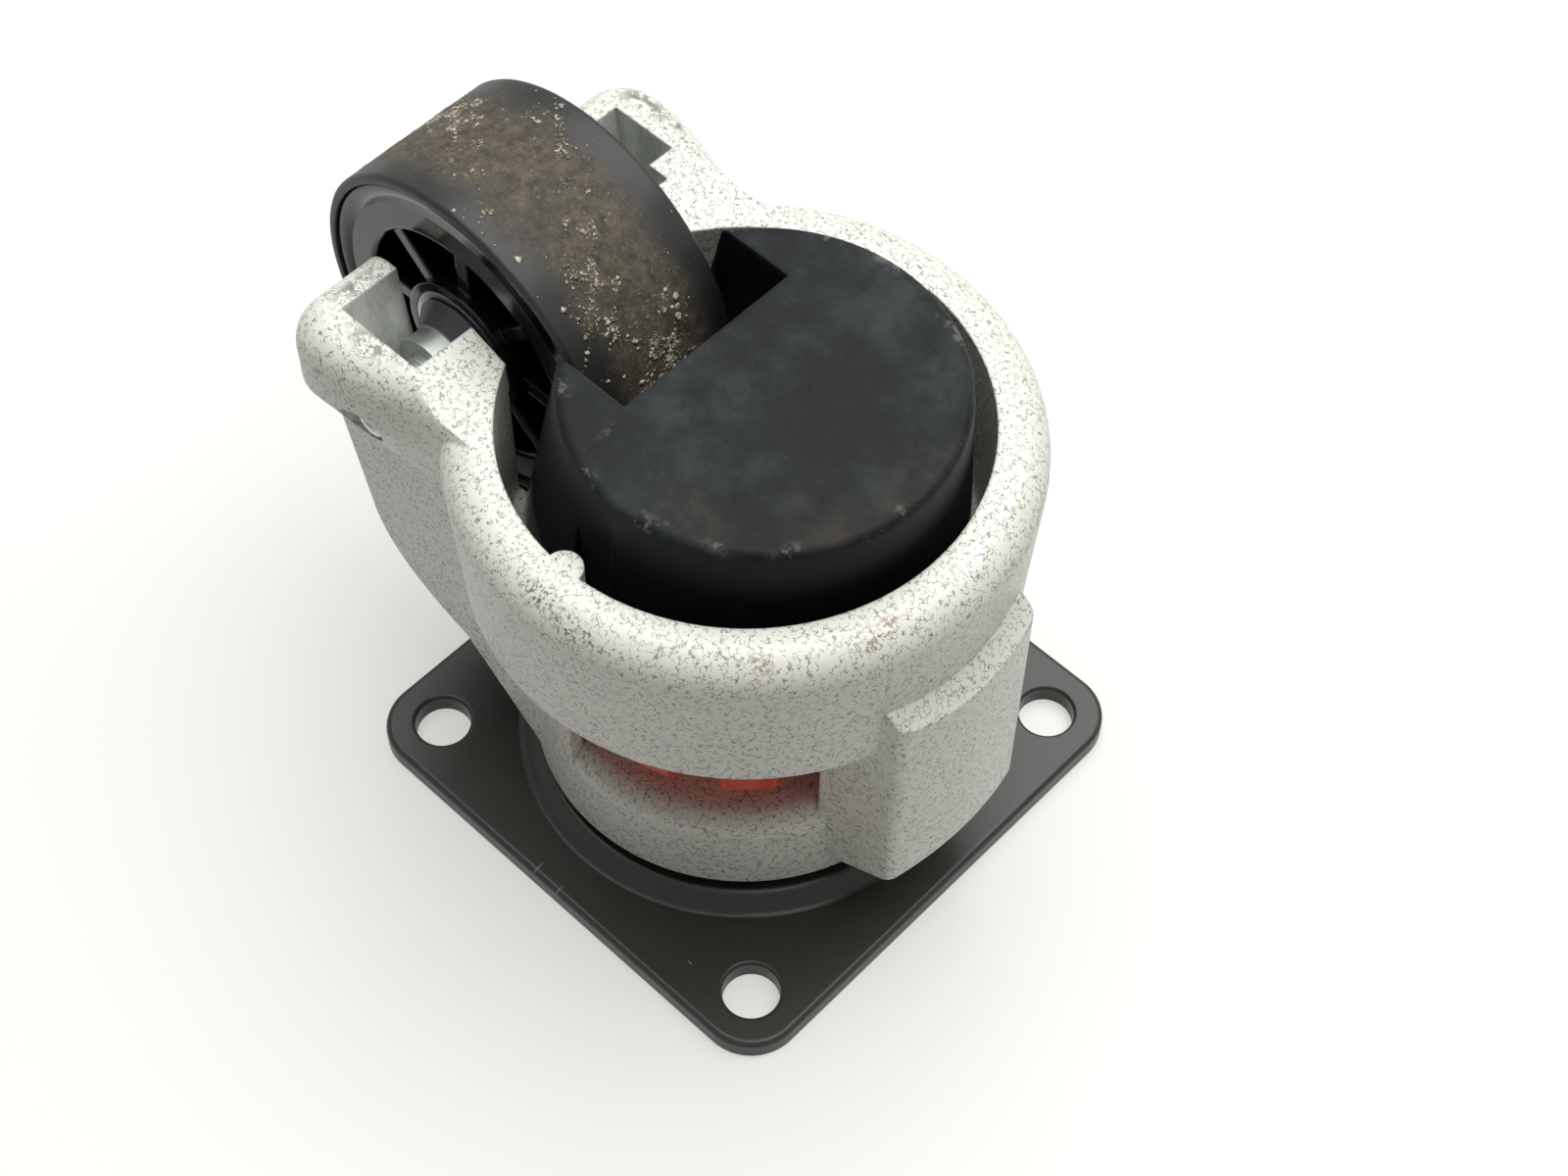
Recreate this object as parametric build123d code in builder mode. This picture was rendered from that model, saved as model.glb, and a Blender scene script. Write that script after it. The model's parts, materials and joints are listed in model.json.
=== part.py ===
"""Levelling castor: a swivel castor whose housing holds a retractable foot, worked by a thumb dial.

The castor stands upside down on its mounting plate. The origin is the centre of the plate's
mounting face, +Z runs up the swivel axis, the wheel lies towards -X and its axle runs along Y.
All lengths are in millimetres.
"""
from build123d import *
import os

# How far two joined forms of one piece run into each other
join_overlap = 1.0

# Mounting plate
plate_size = 73.0
plate_thickness = 3.0
plate_corner_radius = 7.0
plate_edge_radius = 0.8
hole_rim_radius = 0.5
hole_edge_distance = 7.5
hole_diameter = 7.5
dome_foot_radius = 30.3
dome_top_radius = 28.2
dome_rise = 2.4
dome_edge_radius = 1.0
plate_bore_gap = 0.05

# Swivel bearing
swivel_ball_diameter = 4.4
swivel_ball_count = 20
swivel_pitch_radius = 21.5
race_width = 6.4
race_thickness = 2.8
race_groove_depth = 0.9
groove_clearance = 0.05
cage_thickness = 0.8
cage_width = 5.6
cage_ball_gap = 0.15
seal_width = 1.6
seal_gap = 0.3

# Kingpin stack
kingpin_radius = 5.5
kingpin_head_radius = 10.0
kingpin_head_thickness = 2.0
kingpin_housing_gap = 0.6
inner_race_gap = 1.8
inner_race_outer_radius = 11.5
inner_race_thickness = 1.4
inner_ball_diameter = 2.6
inner_ball_count = 14
inner_pitch_radius = 9.4
inner_groove_depth = 0.6
cup_washer_thickness = 1.6
nut_across_flats = 17.0
nut_height = 3.0
kingpin_stand_out = 0.2

# Housing head
head_radius = 28.2
head_bottom_height = 7.7
head_top_height = 22.6
head_shoulder_radius = 3.2
head_lip_radius = 0.8
head_web_thickness = 2.6
nut_pocket_radius = 13.0

# Thumb dial
dial_radius = 25.5
dial_hub_radius = 21.5
dial_rim_bottom_height = 26.5
dial_rim_thickness = 9.8
dial_lobe_count = 12
dial_gap_length = 3.0
dial_gap_depth = 1.6
dial_nut_radius = 9.0
dial_nut_flange_radius = 12.0
dial_nut_flange_thickness = 2.5
thrust_washer_thickness = 1.2
thrust_washer_outer_radius = 20.0
thrust_washer_inner_radius = 13.6
thrust_gap = 0.15
dial_window_gap = 0.8

# Foot well ring
well_radius = 29.3
well_top_height = 69.3
well_floor_height = 45.2
well_outer_radius = 35.8
well_bottom_radius = 34.8
well_bottom_height = 45.8
well_shoulder_radius = 4.6
deck_bottom_height = 38.4
deck_bottom_radius = 29.5
deck_hole_gap = 0.5

# Rear post
post_outer_radius = 38.0
post_half_width = 11.8
post_bottom_height = 20.0
post_root_radius = 24.0
post_root_height = 11.0
post_top_height = 55.0
post_top_slope = 4.0
post_edge_radius = 1.6

# Guide nubs
nub_radius = 2.3
nub_clearance = 0.6
nub_bottom_height = 58.0

# Wheel
wheel_axle_x = -37.2
axle_depth = 11.2
wheel_radius = 24.6
wheel_width = 24.4
tyre_shoulder_radius = 3.1
tyre_inner_radius = 21.3
rim_recess_radius = 16.5
rim_setback = 1.4
rim_edge = 0.4
core_web_thickness = 5.0
core_rib_count = 8
core_rib_thickness = 2.0
core_rib_setback = 2.2
core_hub_radius = 9.4
core_hub_setback = 0.9
wheel_side_gap = 1.8
wheel_arch_gap = 2.0

# Wheel bearings and axle
bearing_outer_radius = 8.0
bearing_width = 5.0
bearing_ring_wall = 1.35
bearing_ball_diameter = 2.2
bearing_ball_count = 7
shield_gap = 0.3
shield_thickness = 0.3
spacer_wall = 1.4
spacer_clearance = 1.2
axle_radius = 4.0
axle_half_length = 17.0
bush_radius = 5.0
bush_cone_radius = 7.2
bush_cone_length = 2.6
bush_shield_gap = 0.3
screw_radius = 3.0
screw_depth_in_axle = 7.0
screw_setback = 2.6
screw_socket_flats = 3.0
screw_socket_depth = 2.0
screw_thread_gap = 0.03

# Legs and arms
arm_pocket_half_width = 22.7
arm_pocket_front = 5.8
arm_pocket_back = 7.3
arm_lug_width = 3.2
arm_lug_depth = 4.0
arm_lug_gap = 1.6
arm_outer_half_width = 29.3
arm_waist_half_width = 25.9
arm_waist_x = -26.6
arm_root_x = -18.0
arm_foot_half_width = 26.0
arm_tip_x = -50.0
arm_tip_radius = 6.5
arm_top_height = 71.4
arm_edge_radius = 4.4
arm_end_depth = 9.4
arm_belly_height = arm_top_height - arm_end_depth
arm_slope_start_x = -31.0
arm_slope_length = 5.5
leg_outer_half_width = 25.0
arm_taper_depth = 6.5
leg_top_height = arm_belly_height - arm_taper_depth
leg_front_x = -3.5
leg_heel_x = -11.0
leg_bend_x = -26.0
leg_bend_height = 23.0
leg_back_x = -41.5
leg_tip_x = -46.0
leg_back_height = 36.0

# Foot
foot_top_radius = 23.8
foot_top_offset = 3.0
foot_top_height = 78.3
foot_bottom_radius = 27.6
foot_bottom_height = 46.6
foot_body_height = 11.4
foot_lip_radius = 1.2
foot_notch_half_width = 13.4
foot_notch_top_x = -6.1
foot_notch_bottom_x = -10.6
foot_groove_floor = 24.3
stem_radius = 6.0
stem_nut_gap = 0.6
stem_length = 43.0
stem_chamfer = 1.0
stem_thread_gap = 0.08

# Heights of the swivel bearing, worked up from the plate
dome_top = plate_thickness + dome_rise
hole_spacing = plate_size - 2 * hole_edge_distance
swivel_ball_radius = swivel_ball_diameter / 2
swivel_ball_height = dome_top - race_groove_depth + groove_clearance + swivel_ball_radius
race_bottom = swivel_ball_height + swivel_ball_radius + groove_clearance - race_groove_depth
race_top = race_bottom + race_thickness
race_inner_radius = swivel_pitch_radius - race_width / 2
race_outer_radius = swivel_pitch_radius + race_width / 2
groove_radius = swivel_ball_radius + groove_clearance
pocket_floor = race_top + head_web_thickness
inner_race_top = pocket_floor + inner_race_thickness
inner_ball_radius = inner_ball_diameter / 2
inner_ball_height = inner_race_top - inner_groove_depth + groove_clearance + inner_ball_radius
inner_groove_radius = inner_ball_radius + groove_clearance
cup_bottom = inner_ball_height + inner_ball_radius + groove_clearance - inner_groove_depth
cup_top = cup_bottom + cup_washer_thickness
nut_top = cup_top + nut_height
kingpin_top = nut_top + kingpin_stand_out
stem_bottom = kingpin_top + stem_nut_gap
stem_top = stem_bottom + stem_length

# Heights of the dial, between the head and the well's deck
lower_washer_top = head_top_height + thrust_washer_thickness
dial_bottom = lower_washer_top + thrust_gap
upper_washer_bottom = deck_bottom_height - thrust_washer_thickness
dial_top = upper_washer_bottom - thrust_gap
dial_space_radius = dial_radius + dial_window_gap
dial_nut_top = well_floor_height - 2 * thrust_washer_thickness

# Foot
foot_split_height = foot_bottom_height + foot_body_height
foot_groove_y = foot_bottom_radius + nub_radius
well_depth_cut = arm_top_height

# Wheel, axle and arm positions along Y
wheel_axle_height = arm_top_height - axle_depth
half_wheel = wheel_width / 2
core_web_half = core_web_thickness / 2
spacer_clear_radius = axle_radius + spacer_wall + spacer_clearance
bearing_ball_radius = bearing_ball_diameter / 2
arm_inner_half_width = half_wheel + wheel_side_gap
wheel_arch_radius = wheel_radius + wheel_arch_gap
bearing_outer_face = half_wheel - core_hub_setback
bearing_inner_face = bearing_outer_face - bearing_width
bush_cone_face = bearing_outer_face + bush_shield_gap
screw_inner_end = axle_half_length - screw_depth_in_axle
screw_outer_end = arm_outer_half_width - screw_setback
arm_lug_bottom = wheel_axle_height + screw_radius + arm_lug_gap
bearing_ball_offset = (bearing_outer_face + bearing_inner_face) / 2
inner_ring_outer_radius = axle_radius + bearing_ring_wall
outer_ring_inner_radius = bearing_outer_radius - bearing_ring_wall
bearing_pitch_radius = (inner_ring_outer_radius + outer_ring_inner_radius) / 2
wheel_plane = Plane(origin=(wheel_axle_x, 0, wheel_axle_height), x_dir=(1, 0, 0), z_dir=(0, -1, 0))


def foot_section(height):
    """Gives the radius and the X offset of the leaning foot cone at a height."""
    share = (height - foot_bottom_height) / (foot_top_height - foot_bottom_height)
    radius = foot_bottom_radius + share * (foot_top_radius - foot_bottom_radius)
    return radius, share * foot_top_offset


def save(name, builder, label):
    """Labels a finished piece and writes its STEP file."""
    builder.part.label = label
    export_step(builder.part, f"parts/{name}.step")


os.makedirs("parts", exist_ok=True)

# Top plate: a flat square with a pressed dome that carries the outer ball groove
with BuildPart() as top_plate:
    with BuildSketch():
        RectangleRounded(plate_size, plate_size, plate_corner_radius)
    extrude(amount=plate_thickness)
    fillet(top_plate.faces().sort_by(Axis.Z)[-1].edges(), plate_edge_radius)
    with BuildSketch(Plane.XZ):
        Polygon((0, 0), (dome_foot_radius, 0), (dome_foot_radius, plate_thickness),
                (dome_top_radius, dome_top), (0, dome_top), align=None)
    revolve(axis=Axis.Z)
    with BuildSketch(Plane.XZ):
        Polygon((0, 0), (dome_top_radius, 0), (dome_top_radius - dome_rise, dome_rise), (0, dome_rise),
                align=None)
    revolve(axis=Axis.Z, mode=Mode.SUBTRACT)
    with BuildSketch(Plane.XZ):
        with Locations((swivel_pitch_radius, swivel_ball_height)):
            Circle(groove_radius)
    revolve(axis=Axis.Z, mode=Mode.SUBTRACT)
    Hole(kingpin_radius + plate_bore_gap)
    with GridLocations(hole_spacing, hole_spacing, 2, 2):
        Hole(hole_diameter / 2)
    upper_circles = top_plate.edges().filter_by(GeomType.CIRCLE).filter_by_position(
        Axis.Z, plate_thickness - plate_edge_radius / 2, dome_top)
    step_edges = upper_circles.filter_by(
        lambda edge: dome_top_radius - join_overlap < edge.radius < plate_size / 2)
    fillet(step_edges, dome_edge_radius)
    hole_rims = top_plate.edges().filter_by(GeomType.CIRCLE).filter_by_position(
        Axis.Z, plate_thickness - plate_edge_radius / 2, plate_thickness + plate_edge_radius / 2)
    fillet(hole_rims.filter_by(lambda edge: edge.radius < hole_diameter), hole_rim_radius)
save("top_plate", top_plate, "top plate")

# Kingpin: a flat head under the dome and a plain shank through both ball rows
with BuildPart() as kingpin:
    with BuildSketch(Plane.XY.offset(dome_rise - kingpin_head_thickness)):
        Circle(kingpin_head_radius)
    extrude(amount=kingpin_head_thickness)
    with BuildSketch(Plane.XY.offset(dome_rise)):
        Circle(kingpin_radius)
    extrude(amount=kingpin_top - dome_rise)
    chamfer(kingpin.edges().sort_by(Axis.Z)[-1], kingpin_stand_out)
save("kingpin", kingpin, "kingpin")

# Swivel ball row, its cage and the hardened race pressed into the casting
with BuildPart() as swivel_balls:
    with Locations((0, 0, swivel_ball_height)):
        with PolarLocations(swivel_pitch_radius, swivel_ball_count):
            Sphere(swivel_ball_radius)
save("swivel_balls", swivel_balls, "swivel balls")

with BuildPart() as ball_cage:
    with BuildSketch(Plane.XY.offset(swivel_ball_height - cage_thickness / 2)):
        Circle(swivel_pitch_radius + cage_width / 2)
        Circle(swivel_pitch_radius - cage_width / 2, mode=Mode.SUBTRACT)
        with PolarLocations(swivel_pitch_radius, swivel_ball_count):
            Circle(swivel_ball_radius + cage_ball_gap, mode=Mode.SUBTRACT)
    extrude(amount=cage_thickness)
save("ball_cage", ball_cage, "ball cage")

with BuildPart() as housing_race:
    with BuildSketch(Plane.XY.offset(race_bottom)):
        Circle(race_outer_radius)
        Circle(race_inner_radius, mode=Mode.SUBTRACT)
    extrude(amount=race_thickness)
    with BuildSketch(Plane.XZ):
        with Locations((swivel_pitch_radius, swivel_ball_height)):
            Circle(groove_radius)
    revolve(axis=Axis.Z, mode=Mode.SUBTRACT)
save("housing_race", housing_race, "housing race")

with BuildPart() as dust_seal:
    with BuildSketch(Plane.XY.offset(dome_top + seal_gap)):
        Circle(race_outer_radius + seal_width + seal_gap)
        Circle(race_outer_radius + seal_gap, mode=Mode.SUBTRACT)
    extrude(amount=head_bottom_height - dome_top - seal_gap)
save("dust_seal", dust_seal, "dust seal")

# Inner ball row, held down by the cup washer and the kingpin's nut
with BuildPart() as inner_race:
    with BuildSketch(Plane.XY.offset(pocket_floor)):
        Circle(inner_race_outer_radius)
        Circle(kingpin_radius + inner_race_gap, mode=Mode.SUBTRACT)
    extrude(amount=inner_race_thickness)
    with BuildSketch(Plane.XZ):
        with Locations((inner_pitch_radius, inner_ball_height)):
            Circle(inner_groove_radius)
    revolve(axis=Axis.Z, mode=Mode.SUBTRACT)
save("inner_race", inner_race, "inner race")

with BuildPart() as kingpin_balls:
    with Locations((0, 0, inner_ball_height)):
        with PolarLocations(inner_pitch_radius, inner_ball_count):
            Sphere(inner_ball_radius)
save("kingpin_balls", kingpin_balls, "kingpin balls")

with BuildPart() as cup_washer:
    with BuildSketch(Plane.XY.offset(cup_bottom)):
        Circle(inner_race_outer_radius)
        Circle(kingpin_radius + plate_bore_gap, mode=Mode.SUBTRACT)
    extrude(amount=cup_washer_thickness)
    with BuildSketch(Plane.XZ):
        with Locations((inner_pitch_radius, inner_ball_height)):
            Circle(inner_groove_radius)
    revolve(axis=Axis.Z, mode=Mode.SUBTRACT)
save("cup_washer", cup_washer, "cup washer")

with BuildPart() as kingpin_nut:
    with BuildSketch(Plane.XY.offset(cup_top)):
        RegularPolygon(nut_across_flats / 2, 6, major_radius=False)
        Circle(kingpin_radius, mode=Mode.SUBTRACT)
    extrude(amount=nut_height)
save("kingpin_nut", kingpin_nut, "kingpin nut")



def arm_plan(height, tip_x, outer_half_width, waist_half_width):
    """Draws the plan of the arm on the -Y side at a height: a blunt tip, a rounded corner and a waist."""
    with BuildSketch(Plane.XY.offset(height)) as plan:
        with BuildLine():
            end = Line((arm_root_x, -half_wheel), (tip_x, -half_wheel))
            nose = Line(end @ 1, (tip_x, -outer_half_width + arm_tip_radius))
            corner = RadiusArc(nose @ 1, (tip_x + arm_tip_radius, -outer_half_width), -arm_tip_radius)
            waist = Spline(corner @ 1, (arm_waist_x, -waist_half_width), (arm_root_x, -waist_half_width),
                           tangents=[(1, 0), (1, 0)])
            Line(waist @ 1, end @ 0)
        make_face()
    return plan.sketch


# One arm of the casting, on the -Y side, rounded above its belly and drawn in below it
with BuildPart() as arm:
    add(arm_plan(arm_belly_height, arm_tip_x, arm_outer_half_width, arm_waist_half_width))
    extrude(amount=arm_top_height - arm_belly_height)
    top_edges = arm.faces().sort_by(Axis.Z)[-1].edges()
    outer_edges = top_edges.sort_by(Axis.Y)[0:-1].sort_by(Axis.X)[0:3]
    fillet(outer_edges, arm_edge_radius)
    lower_plan = arm_plan(leg_top_height, leg_tip_x, arm_foot_half_width, leg_outer_half_width)
    loft([lower_plan, arm_plan(arm_belly_height, arm_tip_x, arm_outer_half_width, arm_waist_half_width)],
         ruled=True)
    with BuildSketch(Plane.XZ):
        Polygon((arm_slope_start_x, arm_top_height),
                (arm_slope_start_x + arm_slope_length, well_top_height),
                (arm_root_x, well_top_height), (arm_root_x, arm_top_height), align=None)
    extrude(amount=arm_outer_half_width, mode=Mode.SUBTRACT)

# One leg under the arm, between the swivel head and the ring
with BuildPart() as leg:
    with BuildSketch(Plane.XZ.offset(arm_inner_half_width)):
        with BuildLine():
            foot_line = Polyline((leg_front_x, head_bottom_height + head_lip_radius),
                                 (leg_heel_x, head_bottom_height + head_lip_radius),
                                 (leg_bend_x, leg_bend_height))
            Spline(foot_line @ 1, (leg_back_x, leg_back_height), tangents=[(-1, 0.36), (-0.3, 1)])
            Polyline((leg_back_x, leg_back_height), (leg_tip_x, leg_top_height + join_overlap),
                     (leg_front_x, leg_top_height + join_overlap),
                     (leg_front_x, head_bottom_height + head_lip_radius))
        make_face()
    extrude(amount=leg_outer_half_width - arm_inner_half_width)

# Rear post: its side profile, rounded off by the swivel radius, with a sloping underside
with BuildPart() as post:
    with BuildSketch(Plane.XZ.offset(-post_half_width)):
        Polygon((post_root_radius, post_root_height),
                (post_outer_radius + join_overlap, post_bottom_height),
                (post_outer_radius + join_overlap, post_top_height - post_top_slope),
                (post_outer_radius - post_top_slope, post_top_height), (post_root_radius, post_top_height),
                align=None)
    extrude(amount=2 * post_half_width)
    with BuildSketch(Plane.XY):
        Circle(post_outer_radius)
    extrude(amount=well_top_height, mode=Mode.INTERSECT)
    fillet(post.edges().filter_by(Axis.Z).sort_by(Axis.X)[-2:], post_edge_radius)

# Housing: one die casting
with BuildPart() as housing:
    # head, with its rounded shoulder
    with BuildSketch(Plane.XZ) as head_section:
        Polygon((0, head_bottom_height), (head_radius, head_bottom_height), (head_radius, head_top_height),
                (0, head_top_height), align=None)
        corners = head_section.vertices().group_by(Axis.X)[-1].sort_by(Axis.Y)
        fillet(corners[0], head_lip_radius)
        corners = head_section.vertices().group_by(Axis.X)[-1].sort_by(Axis.Y)
        fillet(corners[-1], head_shoulder_radius)
    revolve(axis=Axis.Z)
    # wall round the back of the dial, which joins the legs to head and deck
    with BuildSketch(Plane.XY.offset(head_top_height - head_shoulder_radius)):
        Circle(head_radius)
        with Locations((leg_front_x, 0)):
            Rectangle(2 * head_radius, 2 * head_radius, align=(Align.MIN, Align.CENTER), mode=Mode.SUBTRACT)
            Rectangle(2 * head_radius, 2 * arm_inner_half_width, align=(Align.MAX, Align.CENTER),
                      mode=Mode.SUBTRACT)
    extrude(amount=deck_bottom_height - head_top_height + head_shoulder_radius + join_overlap)
    # foot well: a bowl that widens from the deck to the rounded ring
    with BuildSketch(Plane.XZ):
        with BuildLine():
            Polyline((0, well_top_height), (0, deck_bottom_height),
                     (deck_bottom_radius, deck_bottom_height), (well_bottom_radius, well_bottom_height),
                     (well_outer_radius, well_top_height - well_shoulder_radius))
            shoulder = RadiusArc((well_outer_radius, well_top_height - well_shoulder_radius),
                                 (well_outer_radius - well_shoulder_radius, well_top_height),
                                 -well_shoulder_radius)
            Line(shoulder @ 1, (0, well_top_height))
        make_face()
    revolve(axis=Axis.Z)
    # rear post
    add(post.part)
    # legs and arms
    add(leg.part)
    add(mirror(leg.part, about=Plane.XZ))
    add(arm.part)
    add(mirror(arm.part, about=Plane.XZ))
    # foot well and the space for the dial
    with BuildSketch(Plane.XY.offset(well_floor_height)):
        Circle(well_radius)
    extrude(amount=well_depth_cut, mode=Mode.SUBTRACT)
    with BuildSketch(Plane.XY.offset(head_top_height)):
        Circle(dial_space_radius)
    extrude(amount=deck_bottom_height - head_top_height, mode=Mode.SUBTRACT)
    # wheel arch, open to the top and to the back
    with BuildSketch(wheel_plane):
        Circle(wheel_arch_radius)
        Rectangle(2 * wheel_arch_radius, well_depth_cut, align=(Align.CENTER, Align.MIN))
        Rectangle(wheel_arch_radius, 2 * wheel_arch_radius, align=(Align.MAX, Align.CENTER))
    extrude(amount=arm_inner_half_width, both=True, mode=Mode.SUBTRACT)
    # axle slots in the arms, open to the wheel and to the top, with a lug over the far screw
    with BuildSketch(wheel_plane):
        Circle(arm_pocket_front)
        Polygon((-arm_pocket_front, 0), (arm_pocket_front, 0), (arm_pocket_front, axle_depth),
                (-arm_pocket_back, axle_depth), align=None)
    extrude(amount=arm_pocket_half_width, both=True, mode=Mode.SUBTRACT)
    with BuildSketch(Plane.XY.offset(arm_lug_bottom)):
        with Locations((wheel_axle_x + arm_pocket_front, arm_pocket_half_width)):
            Rectangle(arm_lug_width, arm_lug_depth, align=(Align.MAX, Align.MAX))
    extrude(amount=arm_top_height - arm_lug_bottom)
    # screw holes through the arms' outer walls
    with BuildSketch(wheel_plane):
        Circle(screw_radius + screw_thread_gap)
    extrude(amount=arm_outer_half_width, both=True, mode=Mode.SUBTRACT)
    # bore for the dial's nut, pocket for the kingpin's nut and seat of the swivel race
    with BuildSketch(Plane.XY.offset(deck_bottom_height)):
        Circle(dial_nut_radius + deck_hole_gap)
    extrude(amount=well_floor_height - deck_bottom_height, mode=Mode.SUBTRACT)
    with BuildSketch(Plane.XY.offset(pocket_floor)):
        Circle(nut_pocket_radius)
    extrude(amount=head_top_height - pocket_floor, mode=Mode.SUBTRACT)
    with BuildSketch(Plane.XY.offset(head_bottom_height)):
        Circle(kingpin_radius + kingpin_housing_gap)
    extrude(amount=pocket_floor - head_bottom_height, mode=Mode.SUBTRACT)
    with BuildSketch(Plane.XY.offset(head_bottom_height)):
        Circle(race_outer_radius)
        Circle(race_inner_radius, mode=Mode.SUBTRACT)
    extrude(amount=race_top - head_bottom_height, mode=Mode.SUBTRACT)
    # guide nubs that keep the foot from turning
    with BuildSketch(Plane.XY.offset(nub_bottom_height)):
        with Locations((0, -well_radius), (0, well_radius)):
            Circle(nub_radius)
    extrude(amount=well_top_height - nub_bottom_height)
save("housing", housing, "housing")

# Thumb dial: a lobed rim on a hub, turned between two thrust washers
with BuildPart() as lower_thrust_washer:
    with BuildSketch(Plane.XY.offset(head_top_height)):
        Circle(thrust_washer_outer_radius)
        Circle(thrust_washer_inner_radius, mode=Mode.SUBTRACT)
    extrude(amount=thrust_washer_thickness)
save("lower_thrust_washer", lower_thrust_washer, "lower thrust washer")

with BuildPart() as upper_thrust_washer:
    with BuildSketch(Plane.XY.offset(upper_washer_bottom)):
        Circle(thrust_washer_outer_radius)
        Circle(thrust_washer_inner_radius, mode=Mode.SUBTRACT)
    extrude(amount=thrust_washer_thickness)
save("upper_thrust_washer", upper_thrust_washer, "upper thrust washer")

with BuildPart() as dial:
    with BuildSketch(Plane.XY.offset(dial_bottom)):
        Circle(dial_hub_radius)
    extrude(amount=dial_top - dial_bottom)
    with BuildSketch(Plane.XY.offset(dial_rim_bottom_height)):
        Circle(dial_radius)
        with PolarLocations(dial_radius, dial_lobe_count):
            SlotCenterToCenter(dial_gap_length, 2 * dial_gap_depth, rotation=90, mode=Mode.SUBTRACT)
    extrude(amount=dial_rim_thickness)
    with BuildSketch(Plane.XY.offset(dial_bottom)):
        Circle(dial_nut_radius)
    extrude(amount=dial_top - dial_bottom, mode=Mode.SUBTRACT)
    with BuildSketch(Plane.XY.offset(dial_bottom)):
        Circle(dial_nut_flange_radius)
    extrude(amount=dial_nut_flange_thickness, mode=Mode.SUBTRACT)
save("dial", dial, "thumb dial")

with BuildPart() as dial_nut:
    with BuildSketch(Plane.XY.offset(dial_bottom)):
        Circle(dial_nut_radius)
    extrude(amount=dial_nut_top - dial_bottom)
    with BuildSketch(Plane.XY.offset(dial_bottom)):
        Circle(dial_nut_flange_radius)
    extrude(amount=dial_nut_flange_thickness)
    with BuildSketch(Plane.XY.offset(dial_bottom)):
        Circle(stem_radius + stem_thread_gap)
    extrude(amount=dial_nut_top - dial_bottom, mode=Mode.SUBTRACT)
save("dial_nut", dial_nut, "dial nut")

# Foot: a threaded stem, a moulded body and a rubber pad, both notched for the wheel
with BuildPart() as foot_stem:
    with BuildSketch(Plane.XY.offset(stem_bottom)):
        Circle(stem_radius)
    extrude(amount=stem_top - stem_bottom)
    chamfer(foot_stem.edges().sort_by(Axis.Z)[0], stem_chamfer)
save("foot_stem", foot_stem, "foot stem")


def foot_cone(bottom, top):
    """Lofts a slice of the leaning foot cone and cuts its wheel notch and guide grooves."""
    with BuildPart() as slice_part:
        for height in (bottom, top):
            radius, offset = foot_section(height)
            with BuildSketch(Plane.XY.offset(height)):
                with Locations((offset, 0)):
                    Circle(radius)
        loft()
        with BuildSketch(Plane.XZ.offset(-foot_notch_half_width)):
            Polygon((-2 * foot_bottom_radius, foot_bottom_height),
                    (foot_notch_bottom_x, foot_bottom_height),
                    (foot_notch_top_x, foot_top_height),
                    (-2 * foot_bottom_radius, foot_top_height), align=None)
        extrude(amount=2 * foot_notch_half_width, mode=Mode.SUBTRACT)
        with BuildSketch(Plane.XY.offset(bottom)):
            with Locations((0, -foot_groove_y), (0, foot_groove_y)):
                Rectangle(2 * (nub_radius + nub_clearance), 2 * (foot_groove_y - foot_groove_floor))
        extrude(amount=top - bottom, mode=Mode.SUBTRACT)
        with BuildSketch(Plane.XY.offset(bottom)):
            Circle(stem_radius)
        extrude(amount=min(top, stem_top) - bottom, mode=Mode.SUBTRACT)
    return slice_part


foot_body = foot_cone(foot_bottom_height, foot_split_height)
save("foot_body", foot_body, "foot body")
foot_pad = foot_cone(foot_split_height, foot_top_height)
with foot_pad:
    rim = foot_pad.faces().sort_by(Axis.Z)[-1].edges().filter_by(GeomType.CIRCLE)
    fillet(rim, foot_lip_radius)
save("foot_pad", foot_pad, "foot pad")

# Wheel: a ribbed core with a tyre, on two ball bearings
with BuildPart() as wheel_core:
    with BuildSketch(wheel_plane):
        Circle(tyre_inner_radius)
        Circle(rim_recess_radius, mode=Mode.SUBTRACT)
    extrude(amount=half_wheel - rim_setback, both=True)
    chamfer(wheel_core.edges().filter_by(GeomType.CIRCLE), rim_edge)
    with BuildSketch(wheel_plane):
        Circle(rim_recess_radius)
        Circle(spacer_clear_radius, mode=Mode.SUBTRACT)
    extrude(amount=core_web_half, both=True)
    with BuildSketch(wheel_plane):
        Circle(core_hub_radius)
        Circle(spacer_clear_radius, mode=Mode.SUBTRACT)
    extrude(amount=bearing_outer_face, both=True)
    with BuildSketch(wheel_plane):
        with PolarLocations((core_hub_radius + rim_recess_radius) / 2, core_rib_count):
            Rectangle(rim_recess_radius - core_hub_radius + 2 * rim_edge, core_rib_thickness)
    extrude(amount=half_wheel - core_rib_setback, both=True)
    for side in (-1, 1):
        with BuildSketch(Plane.XZ.offset(side * bearing_inner_face)):
            with Locations((wheel_axle_x, wheel_axle_height)):
                Circle(bearing_outer_radius)
        extrude(amount=side * bearing_width, mode=Mode.SUBTRACT)
save("wheel_core", wheel_core, "wheel core")

with BuildPart() as tyre:
    with BuildSketch(Plane.XY) as tyre_section:
        with Locations(((wheel_radius + tyre_inner_radius) / 2, 0)):
            Rectangle(wheel_radius - tyre_inner_radius, wheel_width)
        fillet(tyre_section.vertices().group_by(Axis.X)[-1], tyre_shoulder_radius)
    revolve(axis=Axis.Y)
tyre.part.position = (wheel_axle_x, 0, wheel_axle_height)
save("tyre", tyre, "tyre")


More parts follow.
